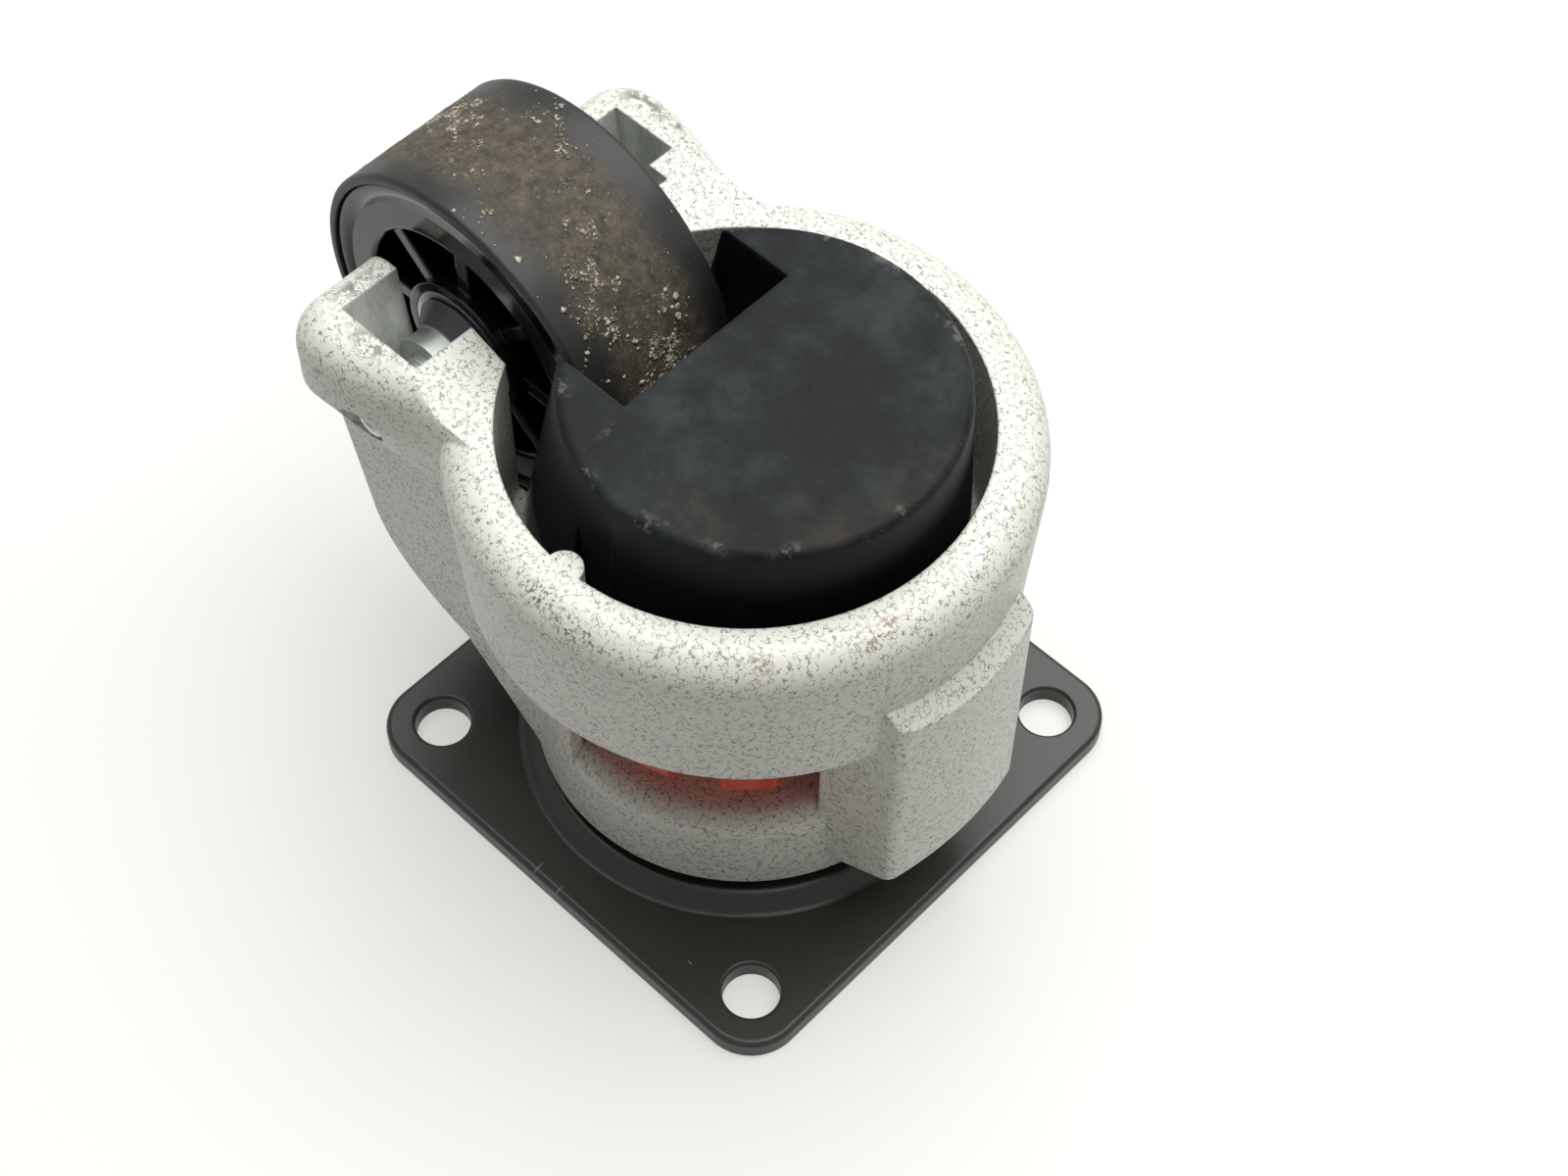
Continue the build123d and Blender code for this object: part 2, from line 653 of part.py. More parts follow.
def wheel_rings(radius, bore, inner_face, outer_face):
    """Makes two mirrored rings round the axle, between two distances from the wheel's middle."""
    with BuildPart() as rings:
        for side in (-1, 1):
            with BuildSketch(Plane.XZ.offset(side * inner_face)):
                with Locations((wheel_axle_x, wheel_axle_height)):
                    Circle(radius)
                    Circle(bore, mode=Mode.SUBTRACT)
            extrude(amount=side * (outer_face - inner_face))
    return rings


def ball_grooves():
    """Makes the two rings of space that the bearing balls run in."""
    with BuildPart() as grooves:
        with BuildSketch(Plane.XY):
            with Locations((bearing_pitch_radius, bearing_ball_offset),
                           (bearing_pitch_radius, -bearing_ball_offset)):
                Circle(bearing_ball_radius + groove_clearance)
        revolve(axis=Axis.Y)
    return grooves.part.moved(Location((wheel_axle_x, 0, wheel_axle_height)))


# Two ball bearings, with a spacer between their inner rings
bearing_outer_rings = wheel_rings(bearing_outer_radius, outer_ring_inner_radius, bearing_inner_face,
                                  bearing_outer_face)
bearing_outer_rings.part -= ball_grooves()
save("bearing_outer_rings", bearing_outer_rings, "bearing outer rings")
bearing_inner_rings = wheel_rings(inner_ring_outer_radius, axle_radius, bearing_inner_face,
                                  bearing_outer_face)
bearing_inner_rings.part -= ball_grooves()
save("bearing_inner_rings", bearing_inner_rings, "bearing inner rings")
bearing_shields = wheel_rings(outer_ring_inner_radius, inner_ring_outer_radius + shield_gap,
                              bearing_outer_face - shield_thickness, bearing_outer_face)
save("bearing_shields", bearing_shields, "bearing shields")

with BuildPart() as bearing_balls:
    for ball_y in (-bearing_ball_offset, bearing_ball_offset):
        with Locations(Plane(origin=(wheel_axle_x, ball_y, wheel_axle_height), z_dir=(0, 1, 0))):
            with PolarLocations(bearing_pitch_radius, bearing_ball_count):
                Sphere(bearing_ball_radius)
save("bearing_balls", bearing_balls, "bearing balls")

with BuildPart() as bearing_spacer:
    with BuildSketch(wheel_plane):
        Circle(axle_radius + spacer_wall)
        Circle(axle_radius, mode=Mode.SUBTRACT)
    extrude(amount=bearing_inner_face, both=True)
save("bearing_spacer", bearing_spacer, "bearing spacer")

# Axle, tapped at both ends, with a stepped bush on each side and the screws through the arms
with BuildPart() as axle:
    with BuildSketch(wheel_plane):
        Circle(axle_radius)
    extrude(amount=axle_half_length, both=True)
    for side in (-1, 1):
        with BuildSketch(Plane.XZ.offset(side * screw_inner_end)):
            with Locations((wheel_axle_x, wheel_axle_height)):
                Circle(screw_radius)
        extrude(amount=side * screw_depth_in_axle, mode=Mode.SUBTRACT)
save("axle", axle, "axle")

with BuildPart() as axle_bushes:
    with BuildSketch(Plane.XY):
        for side in (-1, 1):
            Polygon((axle_radius, side * bearing_outer_face),
                    (inner_ring_outer_radius, side * bearing_outer_face),
                    (inner_ring_outer_radius, side * bush_cone_face),
                    (bush_cone_radius, side * bush_cone_face),
                    (bush_radius, side * (bush_cone_face + bush_cone_length)),
                    (bush_radius, side * axle_half_length), (axle_radius, side * axle_half_length),
                    align=None)
    revolve(axis=Axis.Y)
axle_bushes.part.position = (wheel_axle_x, 0, wheel_axle_height)
save("axle_bushes", axle_bushes, "axle bushes")

with BuildPart() as axle_screws:
    for side in (-1, 1):
        with BuildSketch(Plane.XZ.offset(side * screw_inner_end)):
            with Locations((wheel_axle_x, wheel_axle_height)):
                Circle(screw_radius)
        extrude(amount=side * (screw_outer_end - screw_inner_end))
        with BuildSketch(Plane.XZ.offset(side * screw_outer_end)):
            with Locations((wheel_axle_x, wheel_axle_height)):
                RegularPolygon(screw_socket_flats / 2, 6, major_radius=False)
        extrude(amount=-side * screw_socket_depth, mode=Mode.SUBTRACT)
save("axle_screws", axle_screws, "axle screws")
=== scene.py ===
# %% [markdown]
# # A levelling castor, dressed for a photograph
# The castor is a swivel wheel in a die cast housing. In front of the wheel a rubber foot stands in
# a round well, and a thumb dial under the well winds it up or down. The solids come from CAD as a
# fixed frame. This file gives each surface its real finish, adds the small forms that are too fine
# for the solids, and sets the camera and the light.

# %% Load the frame
import json
import math

import bpy
import numpy as np
from mathutils import Matrix, Vector


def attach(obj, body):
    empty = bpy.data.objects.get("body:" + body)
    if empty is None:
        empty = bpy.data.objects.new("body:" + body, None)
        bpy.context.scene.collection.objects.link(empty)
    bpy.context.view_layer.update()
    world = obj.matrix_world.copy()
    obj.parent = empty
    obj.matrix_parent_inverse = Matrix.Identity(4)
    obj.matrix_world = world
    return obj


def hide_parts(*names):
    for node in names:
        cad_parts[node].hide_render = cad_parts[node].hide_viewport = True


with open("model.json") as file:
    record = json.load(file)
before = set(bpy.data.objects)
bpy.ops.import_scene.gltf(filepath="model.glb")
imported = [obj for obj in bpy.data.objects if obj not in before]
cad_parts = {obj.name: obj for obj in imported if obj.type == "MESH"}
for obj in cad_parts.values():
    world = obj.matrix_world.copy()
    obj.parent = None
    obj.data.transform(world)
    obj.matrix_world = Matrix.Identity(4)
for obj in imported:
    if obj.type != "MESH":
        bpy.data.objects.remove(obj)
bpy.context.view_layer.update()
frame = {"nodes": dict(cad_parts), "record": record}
nodes = frame["nodes"]
MM = 0.001

# %% [markdown]
# ## Node helpers
# A procedural material is a small network of nodes. Writing it out by hand takes many lines, so
# these helpers make one node, join it to what feeds it, and hand back its output. Every pattern
# reads Object coordinates in metres, so a grain of a millimetre is a scale of about a thousand.

# %% Helpers that make and join shader nodes
def feed(tree, socket, value):
    """Joins a socket to another socket, or sets it to a plain value."""
    if isinstance(value, bpy.types.NodeSocket):
        tree.links.new(value, socket)
    else:
        socket.default_value = value


def node(tree, kind, inputs=None, **settings):
    """Makes a node, sets its properties and feeds its inputs by name or number."""
    made = tree.nodes.new(kind)
    for key, value in settings.items():
        setattr(made, key, value)
    for key, value in (inputs or {}).items():
        feed(tree, made.inputs[key], value)
    return made


def maths(tree, operation, first, second=0.0, clamp=False):
    """One Math node: first, operation, second."""
    made = node(tree, "ShaderNodeMath", {0: first, 1: second}, operation=operation, use_clamp=clamp)
    return made.outputs[0]


def times(tree, *values):
    """The product of all the values."""
    total = values[0]
    for value in values[1:]:
        total = maths(tree, "MULTIPLY", total, value)
    return total


def scaled(tree, value, factor, start=0.0):
    """Value times factor, plus start."""
    made = node(tree, "ShaderNodeMath", {0: value, 1: factor, 2: start}, operation="MULTIPLY_ADD")
    return made.outputs[0]


def ramp(tree, value, low, high):
    """Turns value into 0 below low and 1 above high, smoothly between; low may be above high."""
    made = node(tree, "ShaderNodeMapRange", {"Value": value, "From Min": low, "From Max": high},
                interpolation_type="SMOOTHSTEP")
    return made.outputs["Result"]


def mix(tree, factor, first, second):
    """Mixes two colours by a factor from 0 to 1."""
    made = tree.nodes.new("ShaderNodeMix")
    made.data_type = "RGBA"
    feed(tree, made.inputs["Factor"], factor)
    feed(tree, made.inputs["A"], first)
    feed(tree, made.inputs["B"], second)
    return made.outputs["Result"]


def noise(tree, where, scale, detail, roughness):
    """Cloudy noise from 0 to 1 at a number of cells per metre."""
    made = node(tree, "ShaderNodeTexNoise", {"Vector": where, "Scale": scale, "Detail": detail,
                                             "Roughness": roughness})
    return made.outputs["Fac"]


def vector(tree, operation, first, second):
    """One Vector Math node that puts out a vector."""
    made = node(tree, "ShaderNodeVectorMath", {0: first, 1: second}, operation=operation)
    return made.outputs["Vector"]


def distance_from(tree, first, first_centre, second, second_centre):
    """How far a point lies from an axis, from its two coordinates across that axis."""
    one = maths(tree, "SUBTRACT", first, first_centre)
    other = maths(tree, "SUBTRACT", second, second_centre)
    return maths(tree, "SQRT", maths(tree, "ADD", times(tree, one, one), times(tree, other, other)))


def rgb(red, green, blue):
    """A colour with full alpha."""
    return (red, green, blue, 1.0)


# %% Helpers that start a material and a shared group
def new_material(name):
    """Makes a material with one Principled BSDF and returns the material, its tree and the shader."""
    material = bpy.data.materials.new(name)
    material.use_nodes = True
    tree = material.node_tree
    return material, tree, tree.nodes["Principled BSDF"]


def new_group(name, inputs, outputs):
    """Makes a shader node group with named sockets, each a name with a kind and a default."""
    tree = bpy.data.node_groups.new(name, "ShaderNodeTree")
    for title, (kind, default) in inputs.items():
        socket = tree.interface.new_socket(name=title, in_out="INPUT", socket_type="NodeSocket" + kind)
        if default is not None:
            socket.default_value = default
    for title, kind in outputs.items():
        tree.interface.new_socket(name=title, in_out="OUTPUT", socket_type="NodeSocket" + kind)
    start = tree.nodes.new("NodeGroupInput")
    end = tree.nodes.new("NodeGroupOutput")
    return tree, start.outputs, end.inputs


def place_group(tree, group, inputs):
    """Places a group in a material and returns its outputs."""
    made = tree.nodes.new("ShaderNodeGroup")
    made.node_tree = group
    for key, value in inputs.items():
        feed(tree, made.inputs[key], value)
    return made.outputs


def group_mask(tree, group, inputs):
    """Places a group in a material and returns its mask."""
    return place_group(tree, group, inputs)["Mask"]


def object_place(tree):
    """The point of the surface in the castor's own metres."""
    return tree.nodes.new("ShaderNodeTexCoord").outputs["Object"]


# %% [markdown]
# ## Effects that several finishes share
# Some effects come back on most of the surfaces: an edge worn by handling, dirt in patches, a mark
# at one known place, and the small rounding that every moulded or cast edge has. Each is one node
# group. Edge wear needs to know where an edge is. The Pointiness output depends on how fine the
# mesh is, so here the Bevel node is used instead: where its rounded normal leans away from the true
# normal, the point lies near an edge.

# %% Group: near an edge
def make_edge_group():
    """1 close to an edge and 0 on flat ground, broken up by noise."""
    tree, given, out = new_group(
        "near_edge",
        {"Width": ("Float", 0.0006), "Break Scale": ("Float", 900.0), "Amount": ("Float", 0.5)},
        {"Mask": "Float"})
    where = object_place(tree)
    rounded = node(tree, "ShaderNodeBevel", {"Radius": given["Width"]}, samples=4).outputs["Normal"]
    flat = tree.nodes.new("ShaderNodeNewGeometry").outputs["Normal"]
    lean = node(tree, "ShaderNodeVectorMath", {0: rounded, 1: flat}, operation="DOT_PRODUCT")
    edge = ramp(tree, lean.outputs["Value"], 0.985, 0.80)
    broken = ramp(tree, noise(tree, where, given["Break Scale"], 4.0, 0.7), 0.62, 0.38)
    share = times(tree, edge, broken)
    feed(tree, out["Mask"], maths(tree, "MULTIPLY", share, given["Amount"], clamp=True))
    return tree


near_edge = make_edge_group()


# %% Group: dirt in patches
def make_patch_group():
    """Soft patches of dirt: large clouds cut by a finer cloud."""
    tree, given, out = new_group(
        "dirt_patches",
        {"Patch Scale": ("Float", 60.0), "Grain Scale": ("Float", 900.0), "Cover": ("Float", 0.5)},
        {"Mask": "Float"})
    where = object_place(tree)
    large = noise(tree, where, given["Patch Scale"], 4.0, 0.6)
    fine = noise(tree, where, given["Grain Scale"], 4.0, 0.7)
    both = maths(tree, "ADD", scaled(tree, large, 0.7), scaled(tree, fine, 0.3))
    limit = scaled(tree, given["Cover"], -0.6, 0.85)
    feed(tree, out["Mask"], ramp(tree, maths(tree, "SUBTRACT", both, limit), -0.05, 0.12))
    return tree


dirt_patches = make_patch_group()


# %% Group: a mark at one place
def make_mark_group():
    """A ragged mark: 1 near Place, 0 outside Reach, stretched by Stretch and eaten away by noise."""
    tree, given, out = new_group(
        "mark_at_place",
        {"Place": ("Vector", None), "Stretch": ("Vector", None), "Reach": ("Float", 0.003),
         "Break Scale": ("Float", 1500.0), "Break": ("Float", 0.5)},
        {"Mask": "Float"})
    where = object_place(tree)
    away = vector(tree, "DIVIDE", vector(tree, "SUBTRACT", where, given["Place"]), given["Stretch"])
    length = node(tree, "ShaderNodeVectorMath", {0: away}, operation="LENGTH").outputs["Value"]
    near = ramp(tree, maths(tree, "DIVIDE", length, given["Reach"]), 1.0, 0.25)
    grain = noise(tree, where, given["Break Scale"], 3.0, 0.6)
    limit = scaled(tree, given["Break"], 0.5, 0.2)
    eaten = ramp(tree, maths(tree, "SUBTRACT", grain, limit), 0.0, 0.08)
    feed(tree, out["Mask"], maths(tree, "MULTIPLY", near, eaten, clamp=True))
    return tree


mark_at_place = make_mark_group()


def mark(tree, place, reach, stretch, break_scale, broken):
    """Places one mark, with its middle and its reach given in millimetres."""
    return group_mask(tree, mark_at_place, {
        "Place": tuple(part * MM for part in place), "Stretch": stretch, "Reach": reach * MM,
        "Break Scale": break_scale, "Break": broken})


# %% Group: softly rounded edges with a fine surface
def make_skin_group():
    """A normal that rounds the edges by Radius and adds the bumps of Height."""
    tree, given, out = new_group(
        "rounded_skin",
        {"Radius": ("Float", 0.0004), "Height": ("Float", 0.0), "Strength": ("Float", 0.2),
         "Depth": ("Float", 0.0001)},
        {"Normal": "Vector"})
    rounded = node(tree, "ShaderNodeBevel", {"Radius": given["Radius"]}, samples=6).outputs["Normal"]
    bump = node(tree, "ShaderNodeBump", {"Strength": given["Strength"], "Distance": given["Depth"],
                                         "Height": given["Height"], "Normal": rounded})
    feed(tree, out["Normal"], bump.outputs["Normal"])
    return tree


rounded_skin = make_skin_group()


def set_skin(tree, shader, radius, height, strength, depth):
    """Gives a shader rounded edges, with the radius and the bump's depth in millimetres."""
    skin = place_group(tree, rounded_skin, {"Radius": radius * MM, "Height": height,
                                            "Strength": strength, "Depth": depth * MM})
    feed(tree, shader.inputs["Normal"], skin["Normal"])


print("groups", len(bpy.data.node_groups))

# %% [markdown]
# ## Speckled paint on the casting
# The housing is die cast aluminium under a cream powder coat. A darker coat was spattered over it
# and drew together into short curly flecks, well under a millimetre long, that fork here and there.
# A crowd of thin forked lines is just what the borders between Voronoi cells look like, so the
# flecks are those borders, bent by a noise and then cut into short pieces by a second noise. A
# third, larger noise makes some areas sparser.

# %% Group: curly flecks
BEND_SCALE = 1300.0
BEND_SIZE = (1.3 * MM, 1.3 * MM, 1.3 * MM)
CUT_SCALE = 1380.0
CUT_SHIFT = (0.37, 0.11, 0.23)
SPARSE_SCALE = 130.0


def make_fleck_group():
    """Thin broken curls: 1 on a fleck and 0 between them."""
    tree, given, out = new_group(
        "curly_flecks",
        {"Cell Scale": ("Float", 1000.0), "Width": ("Float", 0.07), "Density": ("Float", 0.5)},
        {"Mask": "Float"})
    where = object_place(tree)
    bend = node(tree, "ShaderNodeTexNoise", {"Vector": where, "Scale": BEND_SCALE, "Detail": 1.0})
    bent = vector(tree, "ADD", where, vector(tree, "MULTIPLY", bend.outputs["Color"], BEND_SIZE))
    cells = node(tree, "ShaderNodeTexVoronoi", {"Vector": bent, "Scale": given["Cell Scale"]},
                 feature="DISTANCE_TO_EDGE")
    line = ramp(tree, cells.outputs["Distance"], given["Width"], times(tree, given["Width"], 0.3))
    gate = noise(tree, vector(tree, "ADD", where, CUT_SHIFT), CUT_SCALE, 0.0, 0.5)
    sparse = noise(tree, where, SPARSE_SCALE, 2.0, 0.5)
    usual = scaled(tree, given["Density"], -0.4, 0.72)
    limit = maths(tree, "SUBTRACT", usual, scaled(tree, sparse, 0.12, -0.06))
    cut = ramp(tree, maths(tree, "SUBTRACT", gate, limit), -0.02, 0.03)
    feed(tree, out["Mask"], maths(tree, "MULTIPLY", line, cut, clamp=True))
    return tree


curly_flecks = make_fleck_group()

# %% [markdown]
# ## Where the paint is missing
# The pockets in the two arms take the axle's ends. They were machined after painting, so their
# walls are bare, slightly rough aluminium. Their colour is raised to near white: painted light that
# stands in for the light reaching the shaded pocket walls. A point belongs to a pocket when it lies
# inside a box, so the mask multiplies one step for each side of the box.

# %% Group: inside the arm pockets
POCKET_FRONT_X = -31.33 * MM
POCKET_BACK_X = -44.57 * MM
POCKET_TOP = 71.33 * MM
POCKET_FLOOR = 54.2 * MM
POCKET_NEAR_Y = 14.06 * MM
POCKET_FAR_Y = 22.78 * MM


def make_pocket_group():
    """1 inside the two boxes of the arm pockets and 0 outside."""
    tree, _, out = new_group("in_pockets", {}, {"Mask": "Float"})
    split = node(tree, "ShaderNodeSeparateXYZ", {0: object_place(tree)}).outputs
    off_middle = maths(tree, "ABSOLUTE", split["Y"])
    steps = [maths(tree, "LESS_THAN", split["X"], POCKET_FRONT_X),
             maths(tree, "GREATER_THAN", split["X"], POCKET_BACK_X),
             maths(tree, "LESS_THAN", split["Z"], POCKET_TOP),
             maths(tree, "GREATER_THAN", split["Z"], POCKET_FLOOR),
             maths(tree, "GREATER_THAN", off_middle, POCKET_NEAR_Y),
             maths(tree, "LESS_THAN", off_middle, POCKET_FAR_Y)]
    feed(tree, out["Mask"], times(tree, *steps))
    return tree


in_pockets = make_pocket_group()

# %% [markdown]
# ## The casting's paint
# Each layer is laid over the one before: cream coat, flecks, soot and rust marks at places seen on
# the real castor, grime, and chips down to dull metal on handled edges. The chips are heaviest
# round the arm tips, which strike things first.

# %% Marks on the casting, each a place and a reach in millimetres and a stretch
RUST_MARKS = [((31.2, -10.8, 68.9), 2.9, (0.5, 1.5, 1.0)), ((24.8, -23.2, 69.0), 1.9, (1.4, 0.8, 1.0))]
SOOT_MARKS = [((0.5, -33.4, 68.6), 3.0, (1.5, 0.7, 1.0)), ((5.8, -33.9, 68.0), 2.6, (1.4, 0.8, 1.0)),
              ((35.2, -12.0, 58.0), 2.4, (1.0, 1.2, 1.6)), ((-18.5, -32.5, 63.0), 2.2, (1.4, 1.0, 1.3))]
CHIP_MARKS = [((-38.0, -23.9, 71.0), 2.8, (2.1, 0.8, 1.0)), ((-46.0, -19.0, 70.9), 2.6, (0.7, 1.9, 1.0)),
              ((-42.6, 25.9, 71.0), 3.2, (1.8, 0.8, 1.0)), ((-37.2, 26.2, 70.6), 1.9, (1.0, 0.7, 1.0))]


def all_marks(tree, marks, break_scale, broken):
    """The strongest of several marks."""
    total = 0.0
    for place, reach, stretch in marks:
        total = maths(tree, "MAXIMUM", total, mark(tree, place, reach, stretch, break_scale, broken))
    return total


# %% Material: speckled paint
CREAM_SHADES = (rgb(0.765, 0.765, 0.685), rgb(0.835, 0.83, 0.755))
FLECK_COLOUR = rgb(0.135, 0.14, 0.105)
SOOT_COLOUR = rgb(0.075, 0.075, 0.065)
RUST_COLOUR = rgb(0.23, 0.13, 0.055)
GRIME_COLOUR = rgb(0.22, 0.19, 0.14)
CHIPPED_METAL = (rgb(0.13, 0.14, 0.13), rgb(0.38, 0.395, 0.365))
# bare metal of the pockets, lighter than the real metal: painted light on the shaded pocket walls
POCKET_METAL_AND_PAINTED_LIGHT = (rgb(0.50, 0.53, 0.49), rgb(0.97, 0.98, 0.93))
MACHINED_STREAKS = (1.0, 1.0, 0.25)


def make_speckled_paint():
    """Cream coat with dark curly flecks, chips on the edges, and pocket metal lightened as painted
    light.
    """
    material, tree, shader = new_material("speckled_paint")
    where = object_place(tree)
    flecks = group_mask(tree, curly_flecks, {"Cell Scale": 1280.0, "Width": 0.078, "Density": 0.59})
    cloud = noise(tree, where, 70.0, 3.0, 0.6)
    cream = mix(tree, cloud, *CREAM_SHADES)
    spotted = mix(tree, times(tree, flecks, 0.80), cream, FLECK_COLOUR)
    soot = all_marks(tree, SOOT_MARKS, 1900.0, 0.62)
    spotted = mix(tree, times(tree, soot, 0.85), spotted, SOOT_COLOUR)
    rust = all_marks(tree, RUST_MARKS, 1700.0, 0.55)
    spotted = mix(tree, times(tree, rust, 0.80), spotted, RUST_COLOUR)
    grime = group_mask(tree, dirt_patches, {"Patch Scale": 45.0, "Grain Scale": 700.0, "Cover": 0.16})
    dirty = mix(tree, times(tree, grime, 0.30), spotted, GRIME_COLOUR)
    edge_chips = group_mask(tree, near_edge, {"Width": 0.5 * MM, "Break Scale": 420.0, "Amount": 0.35})
    arm_chips = all_marks(tree, CHIP_MARKS, 620.0, 0.50)
    chips = maths(tree, "MAXIMUM", edge_chips, arm_chips)
    pocket = group_mask(tree, in_pockets, {})
    bare = maths(tree, "MAXIMUM", chips, pocket, clamp=True)
    cast_grain = noise(tree, where, 380.0, 5.0, 0.7)
    chipped = mix(tree, cast_grain, *CHIPPED_METAL)
    streaks = noise(tree, vector(tree, "MULTIPLY", where, MACHINED_STREAKS), 260.0, 5.0, 0.7)
    # painted light: the pocket walls take a near white metal so that they read as lit
    pocket_metal_and_light = mix(tree, ramp(tree, streaks, 0.34, 0.64), *POCKET_METAL_AND_PAINTED_LIGHT)
    metal = mix(tree, pocket, chipped, pocket_metal_and_light)
    feed(tree, shader.inputs["Base Color"], mix(tree, bare, dirty, metal))
    feed(tree, shader.inputs["Metallic"], times(tree, bare, 0.15))
    paint_rough = scaled(tree, cloud, 0.14, 0.30)
    feed(tree, shader.inputs["Roughness"], maths(tree, "MAXIMUM", paint_rough, times(tree, bare, 0.52)))
    skin = noise(tree, where, 480.0, 4.0, 0.6)
    height = maths(tree, "SUBTRACT", skin, times(tree, flecks, 0.30))
    height = maths(tree, "SUBTRACT", height, times(tree, chips, 0.8))
    set_skin(tree, shader, 0.7, height, 0.35, 0.15)
    shader.inputs["Specular IOR Level"].default_value = 0.5
    return material


# %% [markdown]
# ## Black finishes
# Four blacks meet on this object and must not look the same. The plate has a satin black coat
# with a green cast. The wheel core and the foot's moulded body are shiny nylon. The foot's pad is
# dull rubber with smears and scuffs, and the tyre is harder rubber with floor dust in its tread.

# %% Material: satin black coat of the plate
SCRATCHES = [((-3.4, -35.6, 2.6), 1.5, (0.16, 0.9, 1.0)), ((0.9, -35.9, 2.4), 1.4, (0.16, 0.9, 1.0)),
             ((20.6, -31.6, 3.0), 0.8, (0.7, 0.2, 0.5))]
COAT_SHADES = (rgb(0.017, 0.022, 0.016), rgb(0.026, 0.032, 0.024))
RUBBED_STEEL = rgb(0.20, 0.205, 0.19)


def make_black_coat():
    """Satin black coat on steel with a green cast, faint clouds and a few scratches."""
    material, tree, shader = new_material("black_steel")
    where = object_place(tree)
    cloud = noise(tree, where, 40.0, 4.0, 0.6)
    base = mix(tree, cloud, *COAT_SHADES)
    rub = group_mask(tree, near_edge, {"Width": 0.4 * MM, "Break Scale": 300.0, "Amount": 0.22})
    scratched = all_marks(tree, SCRATCHES, 2500.0, 0.15)
    colour = mix(tree, maths(tree, "MAXIMUM", rub, scratched), base, RUBBED_STEEL)
    feed(tree, shader.inputs["Base Color"], colour)
    feed(tree, shader.inputs["Roughness"], scaled(tree, cloud, 0.14, 0.27))
    shader.inputs["Specular IOR Level"].default_value = 0.40
    grain = noise(tree, where, 1600.0, 3.0, 0.6)
    set_skin(tree, shader, 0.3, grain, 0.10, 0.05)
    return material


# %% Material: shiny black nylon
NYLON_BLACK = rgb(0.007, 0.007, 0.009)
NYLON_DUST = rgb(0.10, 0.085, 0.065)


def make_black_nylon():
    """Moulded black nylon, shiny, with a trace of dust."""
    material, tree, shader = new_material("black_nylon")
    where = object_place(tree)
    dust = group_mask(tree, dirt_patches, {"Patch Scale": 90.0, "Grain Scale": 1500.0, "Cover": 0.20})
    colour = mix(tree, times(tree, dust, 0.20), NYLON_BLACK, NYLON_DUST)
    feed(tree, shader.inputs["Base Color"], colour)
    feed(tree, shader.inputs["Roughness"], scaled(tree, dust, 0.35, 0.13))
    shader.inputs["Specular IOR Level"].default_value = 0.36
    ripple = noise(tree, where, 220.0, 2.0, 0.5)
    set_skin(tree, shader, 0.5, ripple, 0.12, 0.1)
    return material


# %% [markdown]
# ## The foot's pad
# The pad has stood on floors, so its face carries grey smears, fine pits and brown stains towards
# the rim, and its lip is scraped pale here and there. Its sides never touch anything and stay clean;
# their colour is darkened to near black as painted shade from the well around them. The height above
# the plate tells the face from the sides.

# %% Material: rubber of the foot's pad
PAD_SIDE_END = 77.0 * MM
PAD_FACE_START = 78.1 * MM
PAD_SCUFFS = [((15.8, -20.3, 78.1), 2.8, (1.7, 0.45, 1.0)), ((20.4, -16.6, 78.1), 1.8, (1.0, 0.6, 1.0)),
              ((-5.0, -17.0, 78.2), 1.8, (0.5, 1.3, 1.0))]
PAD_STAINS = [((24.0, 1.5, 78.3), 5.5, (0.75, 1.4, 1.0)), ((21.0, -9.5, 78.3), 5.5, (1.2, 1.2, 1.0)),
              ((10.0, -18.5, 78.3), 5.0, (1.5, 0.8, 1.0))]
PAD_CENTRE_X = 3.0 * MM
PAD_LIP_START = 21.6 * MM
PAD_LIP_END = 23.3 * MM
PAD_SHADES = (rgb(0.0075, 0.009, 0.010), rgb(0.034, 0.040, 0.041))
STAIN_COLOUR = rgb(0.042, 0.036, 0.027)
SCRAPED_RUBBER = rgb(0.15, 0.145, 0.135)
# the pad's sides: clean rubber darkened to near black, painted shade from the well around them
SIDE_RUBBER_AND_PAINTED_SHADE = rgb(0.002, 0.002, 0.004)


